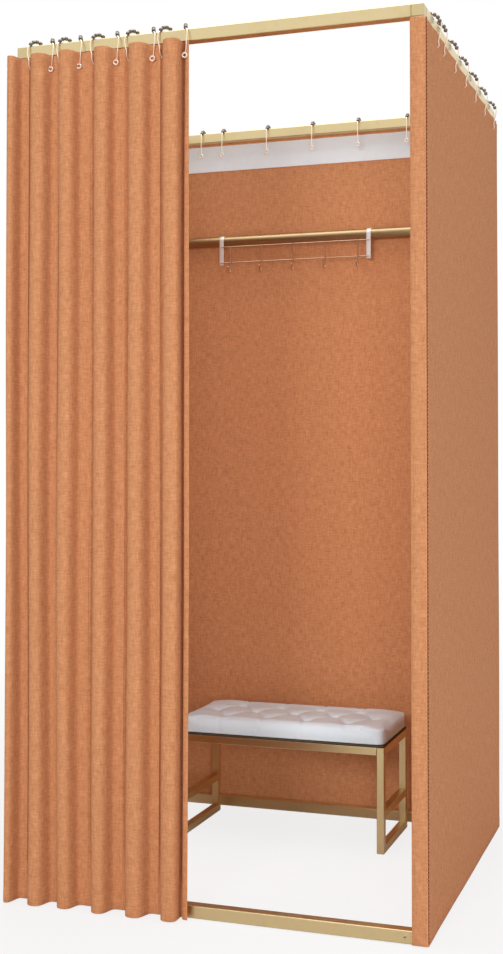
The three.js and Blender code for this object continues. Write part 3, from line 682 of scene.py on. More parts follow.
# %% A tree that puts a screw head on every point
screws, screws_in, screws_out = new_group(
    "screw_heads",
    "GeometryNodeTree",
    [
        ("Points", "Geometry"),
        ("Head Radius", "Float", 0.0032),
        ("Head Height", "Float", 0.0009),
        ("Slot Width", "Float", 0.0009),
        ("Finish", "Material"),
    ],
    [("Screws", "Geometry")],
)
half_head = number(screws, "MULTIPLY", screws_in["Head Radius"], 0.62)
cone_feeds = {"Vertices": 20, "Radius Top": number(screws, "MULTIPLY", screws_in["Head Radius"], 0.82)}
cone_feeds |= {"Radius Bottom": screws_in["Head Radius"], "Depth": screws_in["Head Height"]}
head = add(screws, "GeometryNodeMeshCone", cone_feeds).outputs["Mesh"]
slot_length = number(screws, "MULTIPLY", half_head, 2.0)
slot_size = vector(screws, slot_length, screws_in["Slot Width"], screws_in["Head Height"])
slot_bar = add(screws, "GeometryNodeMeshCube", {"Size": slot_size}).outputs["Mesh"]
cross = together(screws, slot_bar, moved(screws, slot_bar, rotation=(0, 0, math.pi / 2)))
lifted = vector(screws, z=number(screws, "MULTIPLY", screws_in["Head Height"], 1.35))
cut_feeds = {"Mesh 1": head, "Mesh 2": moved(screws, cross, translation=lifted)}
recess = add(screws, "GeometryNodeMeshBoolean", cut_feeds, operation="DIFFERENCE").outputs[0]
facing = aimed(screws, own_value(screws, "facing", "FLOAT_VECTOR"))
heads = on_points(screws, screws_in["Points"], recess, facing)
give(screws, screws_out, Screws=coated(screws, heads, screws_in["Finish"]))


# %% Points that carry values, and a helper that runs a tree on them
def points_object(name, places, edges=(), **values):
    mesh = bpy.data.meshes.new(name)
    mesh.from_pydata([tuple(p) for p in places], list(edges), [])
    for label, rows in values.items():
        kind = "FLOAT_VECTOR" if np.ndim(rows[0]) else "FLOAT"
        layer = mesh.attributes.new(label, kind, "POINT")
        layer.data.foreach_set("vector" if np.ndim(rows[0]) else "value", np.ravel(np.asarray(rows, float)))
    piece = bpy.data.objects.new(name, mesh)
    bpy.context.scene.collection.objects.link(piece)
    return piece


def grown(piece, tree, **inputs):
    """Runs a Geometry Nodes tree on the piece and keeps the result as plain mesh."""
    modifier = piece.modifiers.new(tree.name, "NODES")
    modifier.node_group = tree
    sockets = {s.name: s.identifier for s in tree.interface.items_tree if s.in_out == "INPUT"}
    for label, value in inputs.items():
        modifier[sockets[label.replace("_", " ").title()]] = value
    return settled(piece)


print("made helpers:", points_object.__name__, grown.__name__)

# %% Screws on the bottom rails
screw_places, screw_faces = [], []
for end, outward in (("front", -1), ("rear", 1)):
    lo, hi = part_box(f"bottom_rail_{end}")
    face = (lo.y if outward < 0 else hi.y) + outward * 0.0003
    for x in (lo.x + 0.018, hi.x - 0.018):
        screw_places.append((x, face, (lo.z + hi.z) / 2))
        screw_faces.append((0, outward, 0))
screw_points = points_object("bottom_rail_screws", screw_places, facing=screw_faces)
rail_screws = grown(screw_points, screws, finish=screw_metal)
place_on(rail_screws, "rack_steel", "booth")
print("screws on the bottom rails:", len(screw_places), "with", len(rail_screws.data.polygons), "faces")

# %% [markdown]
# ## The clothes rail and its sockets
# A round tube runs between the rear posts and ends in two sockets: a small plate on the post with a cup
# that takes the tube. Turned profiles make the tube and the cup, out along the outside and back inside.

# %% Rail and sockets
lo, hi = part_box("clothes_rail")
rail_middle = (lo + hi) / 2
rail_radius, rail_half = (hi.z - lo.z) / 2, (hi.x - lo.x) / 2
rail_wall, rail_lip = 0.0015, 0.0004
plate_thick, plate_margin, plate_edge = 0.003, 0.002, 0.0012
cup_play, cup_lip, bore_lip = 0.0003, 0.0006, 0.0004
bore, lip_radius = rail_radius - rail_wall, rail_radius - rail_lip
rail_profile = [(-rail_half, bore), (-rail_half, lip_radius), (rail_lip - rail_half, rail_radius)]
rail_profile += [(rail_half - rail_lip, rail_radius), (rail_half, lip_radius), (rail_half, bore)]
clothes_rail = turned("round_clothes_rail", rail_profile, 0, rail_middle, rail_metal, 64)
place_on(clothes_rail, "clothes_rail_metal", "booth", "clothes_rail")
for side, inward in (("left", 1), ("right", -1)):
    lo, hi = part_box(f"rail_socket_{side}")
    wall_x = lo.x if inward > 0 else hi.x
    plate_x = wall_x + inward * plate_thick
    mouth = hi.x if inward > 0 else lo.x
    plate_half = tube_side / 2 - plate_margin
    plate_lo = Vector((min(wall_x, plate_x), rail_middle.y - plate_half, lo.z))
    plate_hi = Vector((max(wall_x, plate_x), rail_middle.y + plate_half, hi.z))
    parts = [block("plate", plate_lo, plate_hi, plate_edge, champagne)]
    inside, outside = rail_radius + cup_play, (hi.y - lo.y) / 2
    cup = [(plate_x, inside), (plate_x, outside), (mouth - inward * cup_lip, outside)]
    cup += [(mouth, outside - cup_lip), (mouth, inside + bore_lip), (mouth - inward * bore_lip, inside)]
    cup = [(at - rail_middle.x, radius) for at, radius in cup]
    parts.append(turned("cup", cup + cup[:1], 0, rail_middle, champagne, 48))
    socket = joined(f"{side}_rail_socket", parts)
    place_on(socket, "champagne_tube", "booth", f"rail_socket_{side}")
print("rail", round(rail_half * 2, 3), "m long,", round(rail_radius * 2000, 1), "mm across")

# %% [markdown]
# ## Wires and straps
# Wires are circles carried along a smooth line. The line is drawn through a few points with a curve that
# passes each of them, and the circle is turned as little as possible from step to step, so that it doesn't
# twist.


# %% Smooth lines and what is carried along them
def smooth_line(points, steps=6):
    """A Catmull-Rom curve through the points."""
    p = np.asarray(points, float)
    p = np.vstack([2 * p[0] - p[1], p, 2 * p[-1] - p[-2]])
    line = []
    for i in range(1, len(p) - 2):
        for t in np.linspace(0, 1, steps, endpoint=False):
            a, b, c, d = p[i - 1 : i + 3]
            squared, cubed = 2 * a - 5 * b + 4 * c - d, 3 * b - a - 3 * c + d
            line.append(0.5 * (2 * b + (c - a) * t + squared * t**2 + cubed * t**3))
    return np.vstack([line, p[-2]])


def carried(name, line, section, material, side=(1, 0, 0)):
    """A section of (across, up) points carried along a line; side is its first direction."""
    line = np.asarray(line, float)
    along = np.gradient(line, axis=0)
    along /= np.linalg.norm(along, axis=1)[:, None]
    across = np.asarray(side, float)
    rings = []
    for i, point in enumerate(line):
        across = across - along[i] * (across @ along[i])
        across /= np.linalg.norm(across)
        up = np.cross(along[i], across)
        rings.append(point + section[:, :1] * across + section[:, 1:] * up)
    return skin(name, rings, material, caps=True, sharp=40)


corner_line = smooth_line([(0, 0, 0), (1, 0, 0), (1, 1, 0)])
print("a smooth line through three points has", len(corner_line), "points")

# %% [markdown]
# ## The hook rack
# Two flat steel straps hang over the rail. Two thin wires join them, and five J hooks hang from the wires,
# each ending in a small ball. The rack slides along the rail, so it is one piece on its own body.

# %% Straps, wires and J hooks
lo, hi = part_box("hook_rack")
strap_width, strap_thick, strap_edge, strap_play = 0.013, 0.0015, 0.0006, 0.0003
strap_radius = rail_radius + strap_play + strap_thick / 2
strap_foot = rail_middle.z - 0.073
wire_drops, rack_wire_radius = (0.019, 0.066), 0.0016
hook_count, hook_spacing, hook_radius, ball_radius = 5, 0.0975, 0.0015, 0.0027
rack_pieces = []
for x in (lo.x + strap_width / 2, hi.x - strap_width / 2):
    bend = [(-strap_radius, strap_foot - rail_middle.z + 0.001 * k) for k in (0, 24, 48, 66)]
    bend += [(-strap_radius * math.cos(a), strap_radius * math.sin(a)) for a in np.linspace(0, math.pi, 14)]
    bend += [(strap_radius, -0.009)]
    line = smooth_line([(x, rail_middle.y + y, rail_middle.z + z) for y, z in bend], 4)
    section = rounded_section(strap_width, strap_thick, strap_edge, 4)
    rack_pieces.append(carried("strap", line, section, strap_metal))
wire_y = rail_middle.y - strap_radius - strap_thick / 2 - 0.0018
for drop in wire_drops:
    ends = (lo.x + 0.004, hi.x - 0.004)
    line = [(x, wire_y, rail_middle.z - drop) for x in np.linspace(*ends, 24)]
    rack_pieces.append(carried("wire", line, circle_section(rack_wire_radius), rack_metal, side=(0, 1, 0)))
shank_y = wire_y - 0.0034
reach, foot = 0.020, rail_middle.z - 0.097
middle_x = (lo.x + hi.x) / 2
for i in range(hook_count):
    x = middle_x + (i - (hook_count - 1) / 2) * hook_spacing
    path = [(shank_y, rail_middle.z - drop) for drop in (0.017, 0.045, 0.075)]
    bow_y, bow_z = shank_y - reach / 2, foot + reach / 2
    for angle in np.linspace(0, math.pi, 7):
        path.append((bow_y + reach / 2 * math.cos(angle), bow_z - reach / 2 * math.sin(angle)))
    path.append((shank_y - reach, foot + 0.0125))
    line = smooth_line([(x, y, z) for y, z in path], 5)
    rack_pieces.append(carried("j_hook", line, circle_section(hook_radius), rack_metal))
    tip = (x, shank_y - reach, foot + 0.0146)
    half_turn = np.linspace(-math.pi / 2, math.pi / 2, 11)
    ball = [(ball_radius * math.sin(a), ball_radius * math.cos(a)) for a in half_turn]
    rack_pieces.append(turned("ball", ball, 2, tip, rack_metal, 20, 80))
hook_rack = joined("rail_hook_rack", rack_pieces)
place_on(hook_rack, "rack_steel", "hook_rack", "hook_rack")
print("rack", round(hi.x - lo.x, 3), "m wide,", len(hook_rack.data.polygons), "faces")

# %% [markdown]
# ## The roller hooks
# Each hook is a double one: five small steel rollers sit on a bent wire that rests on the beam, and a prong
# hangs down on either side. The outer prong holds the cloth. The inner one ends in a small J on the curtain's
# hooks and in a ring on the fixed ones. Thirty-one hooks repeat with only their wire's line, their turn and
# their crown changing, so one Geometry Nodes tree makes the hook and puts it on points.

# %% The wire's line, from the outer tip over the beam to the inner tip
roller_radius, roller_pitch, crown_radius, crown_height = 0.0046, 0.0096, 0.021, 0.0128
low_crown_height, inner_reach = 0.0092, 0.0254


def wire_line(crown, kind, cloth_reach=0.0, curled=True):
    """The wire of a hook: x runs along the beam, y inwards and z up from the beam's top."""
    arc = [
        (0, crown_radius * math.sin(a), crown - crown_radius + crown_radius * math.cos(a))
        for a in np.linspace(-1.12, 1.12, 15)
    ]
    if kind == "leaning":
        steps = [(0, 0.0635), (0.0036, 0.0590), (0.0026, 0.0520), (0.0034, 0.0430), (0.0066, 0.0310)]
        outer = [(0, -cloth_reach - off, -down) for off, down in steps]
        outer += [(0, -max(cloth_reach + 0.0095, 0.0242), -0.0170), (0, -0.0238, -0.0050)]
    elif kind == "wavy":
        outer = [(0.0086, -0.0185, -0.0630), (0.0086, -0.0225, -0.0570), (0.0080, -0.0250, -0.0480)]
        outer += [(0.0066, -0.0245, -0.0380), (0.0036, -0.0258, -0.0280), (0.0010, -0.0258, -0.0150)]
        outer += [(0, -0.0230, -0.0040)]
    else:
        outer = [(0, -0.0284, -0.0590), (0.0006, -0.0286, -0.0480), (0.0018, -0.0280, -0.0300)]
        outer += [(0.0032, -0.0262, -0.0150), (0.0030, -0.0230, -0.0040)]
    inner = [(0, 0.0226, -0.0050), (0, 0.0242, -0.016), (0, 0.0250, -0.030), (0, 0.0254, -0.048)]
    inner += [(0, inner_reach, -0.0655)]
    if curled:
        inner += [(0, 0.0236, -0.0725), (0, 0.0196, -0.0745), (0, 0.0156, -0.0725), (0, 0.0142, -0.0690)]
    flat = smooth_line(outer + arc + inner, 3)
    mesh = bpy.data.meshes.new("hook_line")
    mesh.from_pydata(flat.tolist(), [(i, i + 1) for i in range(len(flat) - 1)], [])
    return bpy.data.objects.new("hook_line", mesh)


print("rollers", roller_radius * 2000, "mm across, crown", crown_height * 1000, "mm above the beam")

# %% The hook tree: its inputs and the wire
hooks, hooks_in, hooks_out = new_group(
    "roller_hooks",
    "GeometryNodeTree",
    [
        ("Points", "Geometry"),
        ("Wire Line", "Object"),
        ("Wire Radius", "Float", 0.0015),
        ("Rollers", "Int", 5),
        ("Pitch", "Float", roller_pitch),
        ("Crown Radius", "Float", crown_radius),
        ("Crown Height", "Float", crown_height),
        ("Roller Radius", "Float", roller_radius),
        ("Roller Length", "Float", 0.0085),
        ("Slip", "Float", 0.0),
        ("Wire Finish", "Material"),
        ("Roller Finish", "Material"),
    ],
    [("Hooks", "Geometry")],
)


def rod(tree, curve, radius, sides, **more):
    """A round section carried along a curve."""
    section_feeds = {"Resolution": sides, "Radius": radius}
    section = add(tree, "GeometryNodeCurvePrimitiveCircle", section_feeds).outputs[0]
    feeds = {"Curve": curve, "Profile Curve": section}
    feeds |= {label.replace("_", " ").title(): value for label, value in more.items()}
    return add(tree, "GeometryNodeCurveToMesh", feeds).outputs[0]


line_info = add(hooks, "GeometryNodeObjectInfo", {"Object": hooks_in["Wire Line"]})
line_curve = add(hooks, "GeometryNodeMeshToCurve", {"Mesh": line_info.outputs["Geometry"]}).outputs[0]
bare_wire = rod(hooks, line_curve, hooks_in["Wire Radius"], 10, fill_caps=True)
wire = coated(hooks, bare_wire, hooks_in["Wire Finish"])
print("hook tree with its wire:", len(hooks.nodes), "nodes")

# %% The hook tree: one worn roller
barrel_half = number(hooks, "MULTIPLY", hooks_in["Roller Length"], 0.5)
barrel_start = vector(hooks, y=number(hooks, "MULTIPLY", barrel_half, -1.0))
barrel_feeds = {"Start": barrel_start, "End": vector(hooks, y=barrel_half)}
barrel_line = add(hooks, "GeometryNodeCurvePrimitiveLine", barrel_feeds).outputs[0]
barrel_steps = add(hooks, "GeometryNodeResampleCurve", {"Curve": barrel_line, "Count": 9}).outputs[0]
along_barrel = add(hooks, "GeometryNodeSplineParameter").outputs["Factor"]
twice_along = number(hooks, "MULTIPLY", along_barrel, 2.0)
from_middle = number(hooks, "ABSOLUTE", number(hooks, "SUBTRACT", twice_along, 1.0))
worn_end = number(hooks, "MULTIPLY", number(hooks, "POWER", from_middle, 4.0), 0.5)
fullness = number(hooks, "SUBTRACT", 1.0, worn_end)
barrel = rod(hooks, barrel_steps, hooks_in["Roller Radius"], 16, scale=fullness, fill_caps=True)
print("hook tree with a roller:", len(hooks.nodes), "nodes")


# %% The hook tree: rollers in a row on the crown
def turned_by(tree, **angles):
    return add(tree, "FunctionNodeEulerToRotation", {0: vector(tree, **angles)}).outputs[0]


index = add(hooks, "GeometryNodeInputIndex").outputs[0]
middle_index = number(hooks, "MULTIPLY", number(hooks, "SUBTRACT", hooks_in["Rollers"], 1.0), 0.5)
steps_out = number(hooks, "ADD", number(hooks, "SUBTRACT", index, middle_index), hooks_in["Slip"])
step_angle = number(hooks, "DIVIDE", hooks_in["Pitch"], hooks_in["Crown Radius"])
seat_angle = number(hooks, "MULTIPLY", steps_out, step_angle)
seat_y = number(hooks, "MULTIPLY", hooks_in["Crown Radius"], number(hooks, "SINE", seat_angle))
seat_rise = number(hooks, "MULTIPLY", hooks_in["Crown Radius"], number(hooks, "COSINE", seat_angle))
crown_middle = number(hooks, "SUBTRACT", hooks_in["Crown Height"], hooks_in["Crown Radius"])
seat_place = vector(hooks, y=seat_y, z=number(hooks, "ADD", crown_middle, seat_rise))
seats = add(hooks, "GeometryNodePoints", {"Count": hooks_in["Rollers"], "Position": seat_place}).outputs[0]
seat_turn = turned_by(hooks, x=number(hooks, "MULTIPLY", seat_angle, -1.0))
rollers = coated(hooks, on_points(hooks, seats, barrel, seat_turn), hooks_in["Roller Finish"])
print("hook tree with its row of rollers:", len(hooks.nodes), "nodes")

# %% The hook tree: hooks on points
hook_turn = turned_by(hooks, z=own_value(hooks, "turn", "FLOAT"))
hook_row = on_points(hooks, hooks_in["Points"], together(hooks, wire, rollers), hook_turn)
give(hooks, hooks_out, Hooks=smooth(hooks, hook_row))

# %% Where the hooks stand
post_boxes = [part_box(f"post_{end}_{side}") for end, side in corners]
frame_middle = sum((a + b for a, b in post_boxes), Vector()) / 8
half_width = max(b.x for a, b in post_boxes) - frame_middle.x
half_depth = max(b.y for a, b in post_boxes) - frame_middle.y
post_x, post_y = half_width - tube_side / 2, half_depth - tube_side / 2
curtain_left, gathered_width = frame_middle.x - half_width - 0.015, 0.464
front_shares = [0.13, 0.22, 0.296, 0.377, 0.481, 0.58, 0.67, 0.776, 0.847, 0.946]
front_turns = [math.radians(-34), math.radians(22)]
straight_line = wire_line(crown_height, "straight")
wavy_line = wire_line(crown_height, "wavy")
front_hooks = {}
for i, share_x in enumerate(front_shares):
    node = f"curtain_hook_{i + 1:02d}"
    place_x = curtain_left + share_x * gathered_width
    front_hooks.setdefault(body_of[node], []).append((node, place_x, front_turns[i % 2]))
print("frame", round(2 * half_width, 3), "by", round(2 * half_depth, 3), "m in plan")

# %% Hooks on the curtain
beam_y = frame_middle.y - post_y
hook_finishes = {"wire_finish": hook_wire_metal, "roller_finish": roller_metal}
for body, group in front_hooks.items():
    for kind, wire, turn in (("wavy", wavy_line, front_turns[0]), ("ringed", straight_line, front_turns[1])):
        same = [(node, x) for node, x, own_turn in group if own_turn == turn]
        if same:
            places = [(x, beam_y, beam_top) for _, x in same]
            points = points_object(f"{body}_{kind}_hook", places, turn=[turn] * len(same))
            made = grown(points, hooks, wire_line=wire, **hook_finishes)
            place_on(made, "hook_metal", body, *[node for node, _ in same])

# %% Hooks on the fixed beams
side_shares = [-0.378, -0.307, -0.164, -0.023, 0.125, 0.274, 0.431]
rear_shares = [-0.392, -0.324, -0.181, -0.039, 0.102, 0.249, 0.392]
fixed_turns = {"rear": math.radians(4), "right": math.radians(8), "left": math.radians(-8)}
fixed_crowns = {"rear": low_crown_height, "right": crown_height, "left": crown_height}
hook_shift = {"rear": 0.0, "right": 0.004, "left": 0.004}
roller_slip = {"rear": 0.0, "right": -1.0, "left": -1.0}
wire_clearance = 0.001
panel_faces = {
    "rear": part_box("rear_panel")[1].y - frame_middle.y - post_y,
    "right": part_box("side_panel_right")[1].x - frame_middle.x - post_x,
    "left": frame_middle.x - post_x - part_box("side_panel_left")[0].x,
}
side_hook_x = post_x + hook_shift["right"]
rear_hook_x = [frame_middle.x + share * 2 * half_width for share in rear_shares]
side_hook_y = [frame_middle.y + share * 2 * half_depth for share in side_shares]
fixed_rows = {
    "rear": [(x, frame_middle.y + post_y, math.pi) for x in rear_hook_x],
    "right": [(frame_middle.x + side_hook_x, y, math.pi / 2) for y in side_hook_y],
    "left": [(frame_middle.x - side_hook_x, y, -math.pi / 2) for y in side_hook_y],
}
for row, stands in fixed_rows.items():
    places = [(x, y, beam_top) for x, y, _ in stands]
    points = points_object(f"{row}_hooks", places, turn=[t + fixed_turns[row] for _, _, t in stands])
    crown = fixed_crowns[row]
    cloth_reach = panel_faces[row] - hook_shift[row] - wire_clearance
    line = wire_line(crown, "leaning", cloth_reach, curled=False)
    sizes = {"crown_height": crown, "slip": roller_slip[row]}
    made = grown(points, hooks, wire_line=line, **sizes, **hook_finishes)
    place_on(made, "hook_metal", "booth")
on_curtain, on_beams = [sum(map(len, rows.values())) for rows in (front_hooks, fixed_rows)]
print("hooks:", on_curtain, "on the curtain,", on_beams, "fixed")

# %% [markdown]
# ## Sheets of cloth
# A hanging sheet is a line in plan, repeated at many heights. The cloth gets its thickness on both sides of
# that line, its edges taper off, and a turned and sewn hem at the top and the foot is a little thicker.
# The UV map counts metres along the cloth, so the weave runs on across folds.


# %% A smooth line inside its control points
def spline(points, steps):
    """A cubic B-spline inside the control points, from the first to the last."""
    p = np.asarray(points, float)
    p = np.vstack([2 * p[0] - p[1], p, 2 * p[-1] - p[-2]])
    line = []
    for i in range(len(p) - 3):
        a, b, c, d = p[i : i + 4]
        for t in np.linspace(0, 1, steps, endpoint=False):
            near, next_one = 3 * t**3 - 6 * t**2 + 4, 1 + 3 * t + 3 * t**2 - 3 * t**3
            line.append(((1 - t) ** 3 * a + near * b + next_one * c + t**3 * d) / 6)
    return np.vstack([line, (p[-3] + 4 * p[-2] + p[-1]) / 6])


print("a spline of three control points has", len(spline([(0, 0), (1, 0), (1, 1)], 6)), "points")


# %% The cloth's outline at one height
hem_height, between_hems, rim_taper, side_taper = 0.026, 0.82, 0.55, 0.6


def cloth_ring(line, z, half, ripple, drop_at):
    """The outline, and how far along the cloth each of its points lies."""
    along = np.gradient(line, axis=0)
    along /= np.linalg.norm(along, axis=1)[:, None]
    out = np.stack([along[:, 1], -along[:, 0]], axis=1)
    steps = np.concatenate([[0], np.cumsum(np.linalg.norm(np.diff(line, axis=0), axis=1))])
    if ripple:
        wave = [noise.noise(Vector((x * 7, y * 7 + 3, z * 2.2))) for x, y in line]
        line = line + out * (ripple * np.array(wave))[:, None]
    level = np.full(len(line), z) - (drop_at(steps, z) if drop_at else 0)
    front, back = line + out * half, line - out * half
    left = line[:1] - along[:1] * half * side_taper
    right = line[-1:] + along[-1:] * half * side_taper
    plan = np.vstack([front, right, back[::-1], left])
    levels = np.concatenate([level, level[-1:], level[::-1], level[:1]])
    runs = np.concatenate([steps, steps[-1:], steps[::-1], steps[:1]])
    return np.column_stack([plan, levels]), runs


print("made a helper:", cloth_ring.__name__)


# %% A sheet that hangs along a line
def hanging_sheet(
    name, line_at, heights, thickness, material, lay_start=0.0, hem=hem_height, ripple=0.0, drop_at=None
):
    """A closed sheet, its mean width along the line and its height."""
    bottom, top = heights[0], heights[-1]
    rings, runs = [], []
    for z in heights:
        rim = min(z - bottom, top - z)
        half = thickness / 2 * (1.0 if rim < hem else between_hems) * (rim_taper if rim <= 0 else 1)
        ring, run = cloth_ring(line_at((z - bottom) / (top - bottom)), z, half, ripple, drop_at)
        rings.append(ring)
        runs.append(run)
    around = len(rings[0])
    count = around // 2 - 1
    lays = [run + lay_start for run in runs]
    faces, lay = [], []
    for i in range(len(heights) - 1):
        for a in range(around):
            b = (a + 1) % around
            faces.append((i * around + a, i * around + b, (i + 1) * around + b, (i + 1) * around + a))
            lay += [(lays[i][a], heights[i]), (lays[i][b], heights[i])]
            lay += [(lays[i + 1][b], heights[i + 1]), (lays[i + 1][a], heights[i + 1])]
    for level in (0, len(heights) - 1):
        base, z, places = level * around, heights[level], lays[level]
        mirror = [base + 2 * count - a for a in range(count)]
        for a in range(count - 1):
            faces.append((base + a, base + a + 1, mirror[a + 1], mirror[a]))
            lay += [(places[a], z), (places[a + 1], z), (places[a + 1], z + 0.001), (places[a], z + 0.001)]
        faces.append((base + count - 1, base + count, base + count + 1))
        faces.append((base, mirror[0], base + around - 1))
        lay += [(places[count - 1], z)] * 3 + [(places[0], z)] * 3
    width = float(np.mean([run.max() for run in runs]))
    return laid_mesh(name, rings, faces, lay, material), width, top - bottom


print("made a helper:", hanging_sheet.__name__)


# %% Levels up the cloth
def hem_heights(bottom, top, steps, hem=hem_height):
    """Levels up the cloth, close together where the hems end."""
    rim, edge = 0.0008, 0.0012
    low = [bottom, bottom + rim, bottom + hem / 2, bottom + hem - edge, bottom + hem + edge]
    high = [top - hem - edge, top - hem + edge, top - hem / 2, top - rim, top]
    between = np.linspace(low[-1], high[0], steps + 2)[1:-1]
    return [*low, *between, *high]


print("a cloth of 2 m has", len(hem_heights(0, 2, 40)), "levels")

# %% [markdown]
# ## Stitches
# The hems and the corner of the front strip are sewn with a thick thread, and a row of dark thread along
# the strip's outer edge paints the shadow line there. Each stitch is a short capsule on the cloth. Geometry
# Nodes walk along the seam's line and put one at each step.

# %% A tree that sews along a line
sewing, sewing_in, sewing_out = new_group(
    "stitches",
    "GeometryNodeTree",
    [
        ("Seam", "Geometry"),
        ("Pitch", "Float", 0.006),
        ("Stitch Length", "Float", 0.0042),
        ("Thread Radius", "Float", 0.00055),
        ("Thread", "Material"),
    ],
    [("Stitches", "Geometry")],
)
seam_curve = add(sewing, "GeometryNodeMeshToCurve", {"Mesh": sewing_in["Seam"]}).outputs[0]
seam_feeds = {"Curve": seam_curve, "Length": sewing_in["Pitch"]}
walk = add(sewing, "GeometryNodeCurveToPoints", seam_feeds, mode="LENGTH").outputs
thread_feeds = {"Segments": 6, "Rings": 5, "Radius": sewing_in["Thread Radius"]}
capsule = add(sewing, "GeometryNodeMeshUVSphere", thread_feeds).outputs[0]
thread_across = number(sewing, "MULTIPLY", sewing_in["Thread Radius"], 2.0)
longer = number(sewing, "DIVIDE", sewing_in["Stitch Length"], thread_across)
stitch = moved(sewing, capsule, scale=vector(sewing, 1.0, 1.0, longer))
stitch_row = on_points(sewing, walk[0], stitch, aimed(sewing, walk["Tangent"]))
give(sewing, sewing_out, Stitches=coated(sewing, smooth(sewing, stitch_row), sewing_in["Thread"]))


# %% A helper that sews along lines
def sewn(name, lines, thread=sewing_thread, **sizes):
    """Stitches along one or more open lines."""
    points, edges = [], []
    for line in lines:
        start = len(points)
        points += [tuple(p) for p in line]
        edges += [(start + i, start + i + 1) for i in range(len(line) - 1)]
    return grown(points_object(name, points, edges), sewing, thread=thread, **sizes)


print("made a helper:", sewn.__name__)

# %% [markdown]
# ## The side and rear panels
# The three fixed panels hang almost flat from their hooks and dip a little between them. The right one also
# wraps round the front post as a narrow strip. Each is one sheet, cut to the size that its solid shows.

# %% The panels' lines, and how they dip
panel_thickness, panel_ripple, panel_bend = 0.0024, 0.0012, 0.003
hem_z, cloth_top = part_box("rear_panel")[0].z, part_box("rear_panel")[1].z


def rounded_line(corner_points, radius, spacing=0.012):
    points = [np.array(corner_points[0], float)]
    for i in range(1, len(corner_points) - 1):
        before, corner, after = [np.array(corner_points[k], float) for k in (i - 1, i, i + 1)]
        a = corner + (before - corner) / np.linalg.norm(before - corner) * radius
        b = corner + (after - corner) / np.linalg.norm(after - corner) * radius
        for t in np.linspace(0, 1, 7):
            points.append((1 - t) ** 2 * a + 2 * t * (1 - t) * corner + t**2 * b)
    points.append(np.array(corner_points[-1], float))
    line = [points[0]]
    for before, after in zip(points, points[1:]):
        parts = max(1, int(np.linalg.norm(after - before) / spacing))
        line += [before + (after - before) * k / parts for k in range(1, parts + 1)]
    return np.array(line)


def dips(hook_runs, depth):
    """How far the top edge hangs down between the hooks that hold it."""
    held = np.sort(np.asarray(hook_runs))

    def drop(runs, z):
        near = np.abs(runs[:, None] - held[None, :]).min(axis=1)
        fade = max(0.0, 1 - (cloth_top - z) / 0.25) ** 2
        return depth * fade * (1 - np.exp(-((near / 0.03) ** 2)))

    return drop


print("cloth hangs from", round(cloth_top, 3), "m down to", round(hem_z, 3), "m")

# %% Where each panel runs, and where along it the hooks hold
right_lo, right_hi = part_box("side_panel_right")
left_lo, left_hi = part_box("side_panel_left")
rear_lo, rear_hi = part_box("rear_panel")
half = panel_thickness / 2
side_x, strip_y = right_hi.x - half, right_lo.y + half
left_x, rear_y = left_lo.x + half, rear_lo.y + half
panel_turns = {
    "right_side_panel": [(right_lo.x, strip_y), (side_x, strip_y), (side_x, right_hi.y)],
    "left_side_panel": [(left_x, left_hi.y), (left_x, left_lo.y)],
    "rear_cloth_panel": [(rear_hi.x, rear_y), (rear_lo.x, rear_y)],
}
held_runs = {
    "right_side_panel": [side_x - right_lo.x + (y - strip_y) for y in side_hook_y] + [0.0],
    "left_side_panel": [left_hi.y - y for y in side_hook_y],
    "rear_cloth_panel": [rear_hi.x - x for x in rear_hook_x],
}
print("panels turn at", [len(turns) - 2 for turns in panel_turns.values()], "corners")

# %% The right, the left and the rear panel
panel_plans = [
    ("right", "right_side_panel", "side_panel_right", 0.0035, 0.0),
    ("left", "left_side_panel", "side_panel_left", 0.0035, 0.0),
    ("rear", "rear_cloth_panel", "rear_panel", 0.0015, 0.008),
]
for side, name, node, dip, rise in panel_plans:
    panel, width, height = hanging_sheet(
        name,
        lambda share: rounded_line(panel_turns[name], panel_bend),
        hem_heights(hem_z, cloth_top + rise, 40),
        panel_thickness,
        terracotta_cloth,
        ripple=panel_ripple,
        drop_at=dips(held_runs[name], dip),
    )
    place_on(panel, "terracotta_cloth", "booth", node)
    print(panel.name, "cut", round(width, 3), "x", round(height, 3), "m")

# %% Stitches on the panels
thread_lift, hem_seam = 0.0002, hem_z + 0.022
strip_edge, strip_face = right_hi.x - 0.0022, right_lo.y - thread_lift
right_face, left_face, rear_face = right_hi.x + thread_lift, left_lo.x - thread_lift, rear_hi.y + thread_lift
seam_levels = np.linspace(hem_z + 0.01, cloth_top - 0.006, 60)
corner_seam = [(strip_edge, strip_face, z) for z in seam_levels]
right_hem = [(right_face, y, hem_seam) for y in np.linspace(strip_y + 0.006, right_hi.y - 0.004, 60)]
strip_hem = [(x, strip_face, hem_seam) for x in np.linspace(right_lo.x + 0.002, side_x - 0.004, 12)]
corner_sizes = {"pitch": 0.0085, "stitch_length": 0.0062, "thread_radius": 0.001}
corner_stitches = sewn("corner_stitches", [corner_seam], **corner_sizes)
place_on(corner_stitches, "terracotta_cloth", "booth")
# A close row of dark thread on the side face, along the strip's edge, paints the shadow line at that corner.
shadow_line_seam = [(right_face, right_lo.y + 0.0016, z) for z in seam_levels]
shadow_line_sizes = {"pitch": 0.0085, "stitch_length": 0.0079, "thread_radius": 0.0013}
edge_stitches = sewn("edge_stitches", [shadow_line_seam], thread=shadow_line_thread, **shadow_line_sizes)
place_on(edge_stitches, "terracotta_cloth", "booth")
left_hem = [(left_face, y, hem_seam) for y in np.linspace(left_lo.y + 0.004, left_hi.y - 0.004, 60)]
rear_hem = [(x, rear_face, hem_seam) for x in np.linspace(rear_lo.x + 0.004, rear_hi.x - 0.004, 60)]
hem_stitches = sewn("panel_hem_stitches", [right_hem, strip_hem, left_hem, rear_hem])
place_on(hem_stitches, "terracotta_cloth", "booth")
print("stitch faces:", len(corner_stitches.data.polygons) + len(hem_stitches.data.polygons))

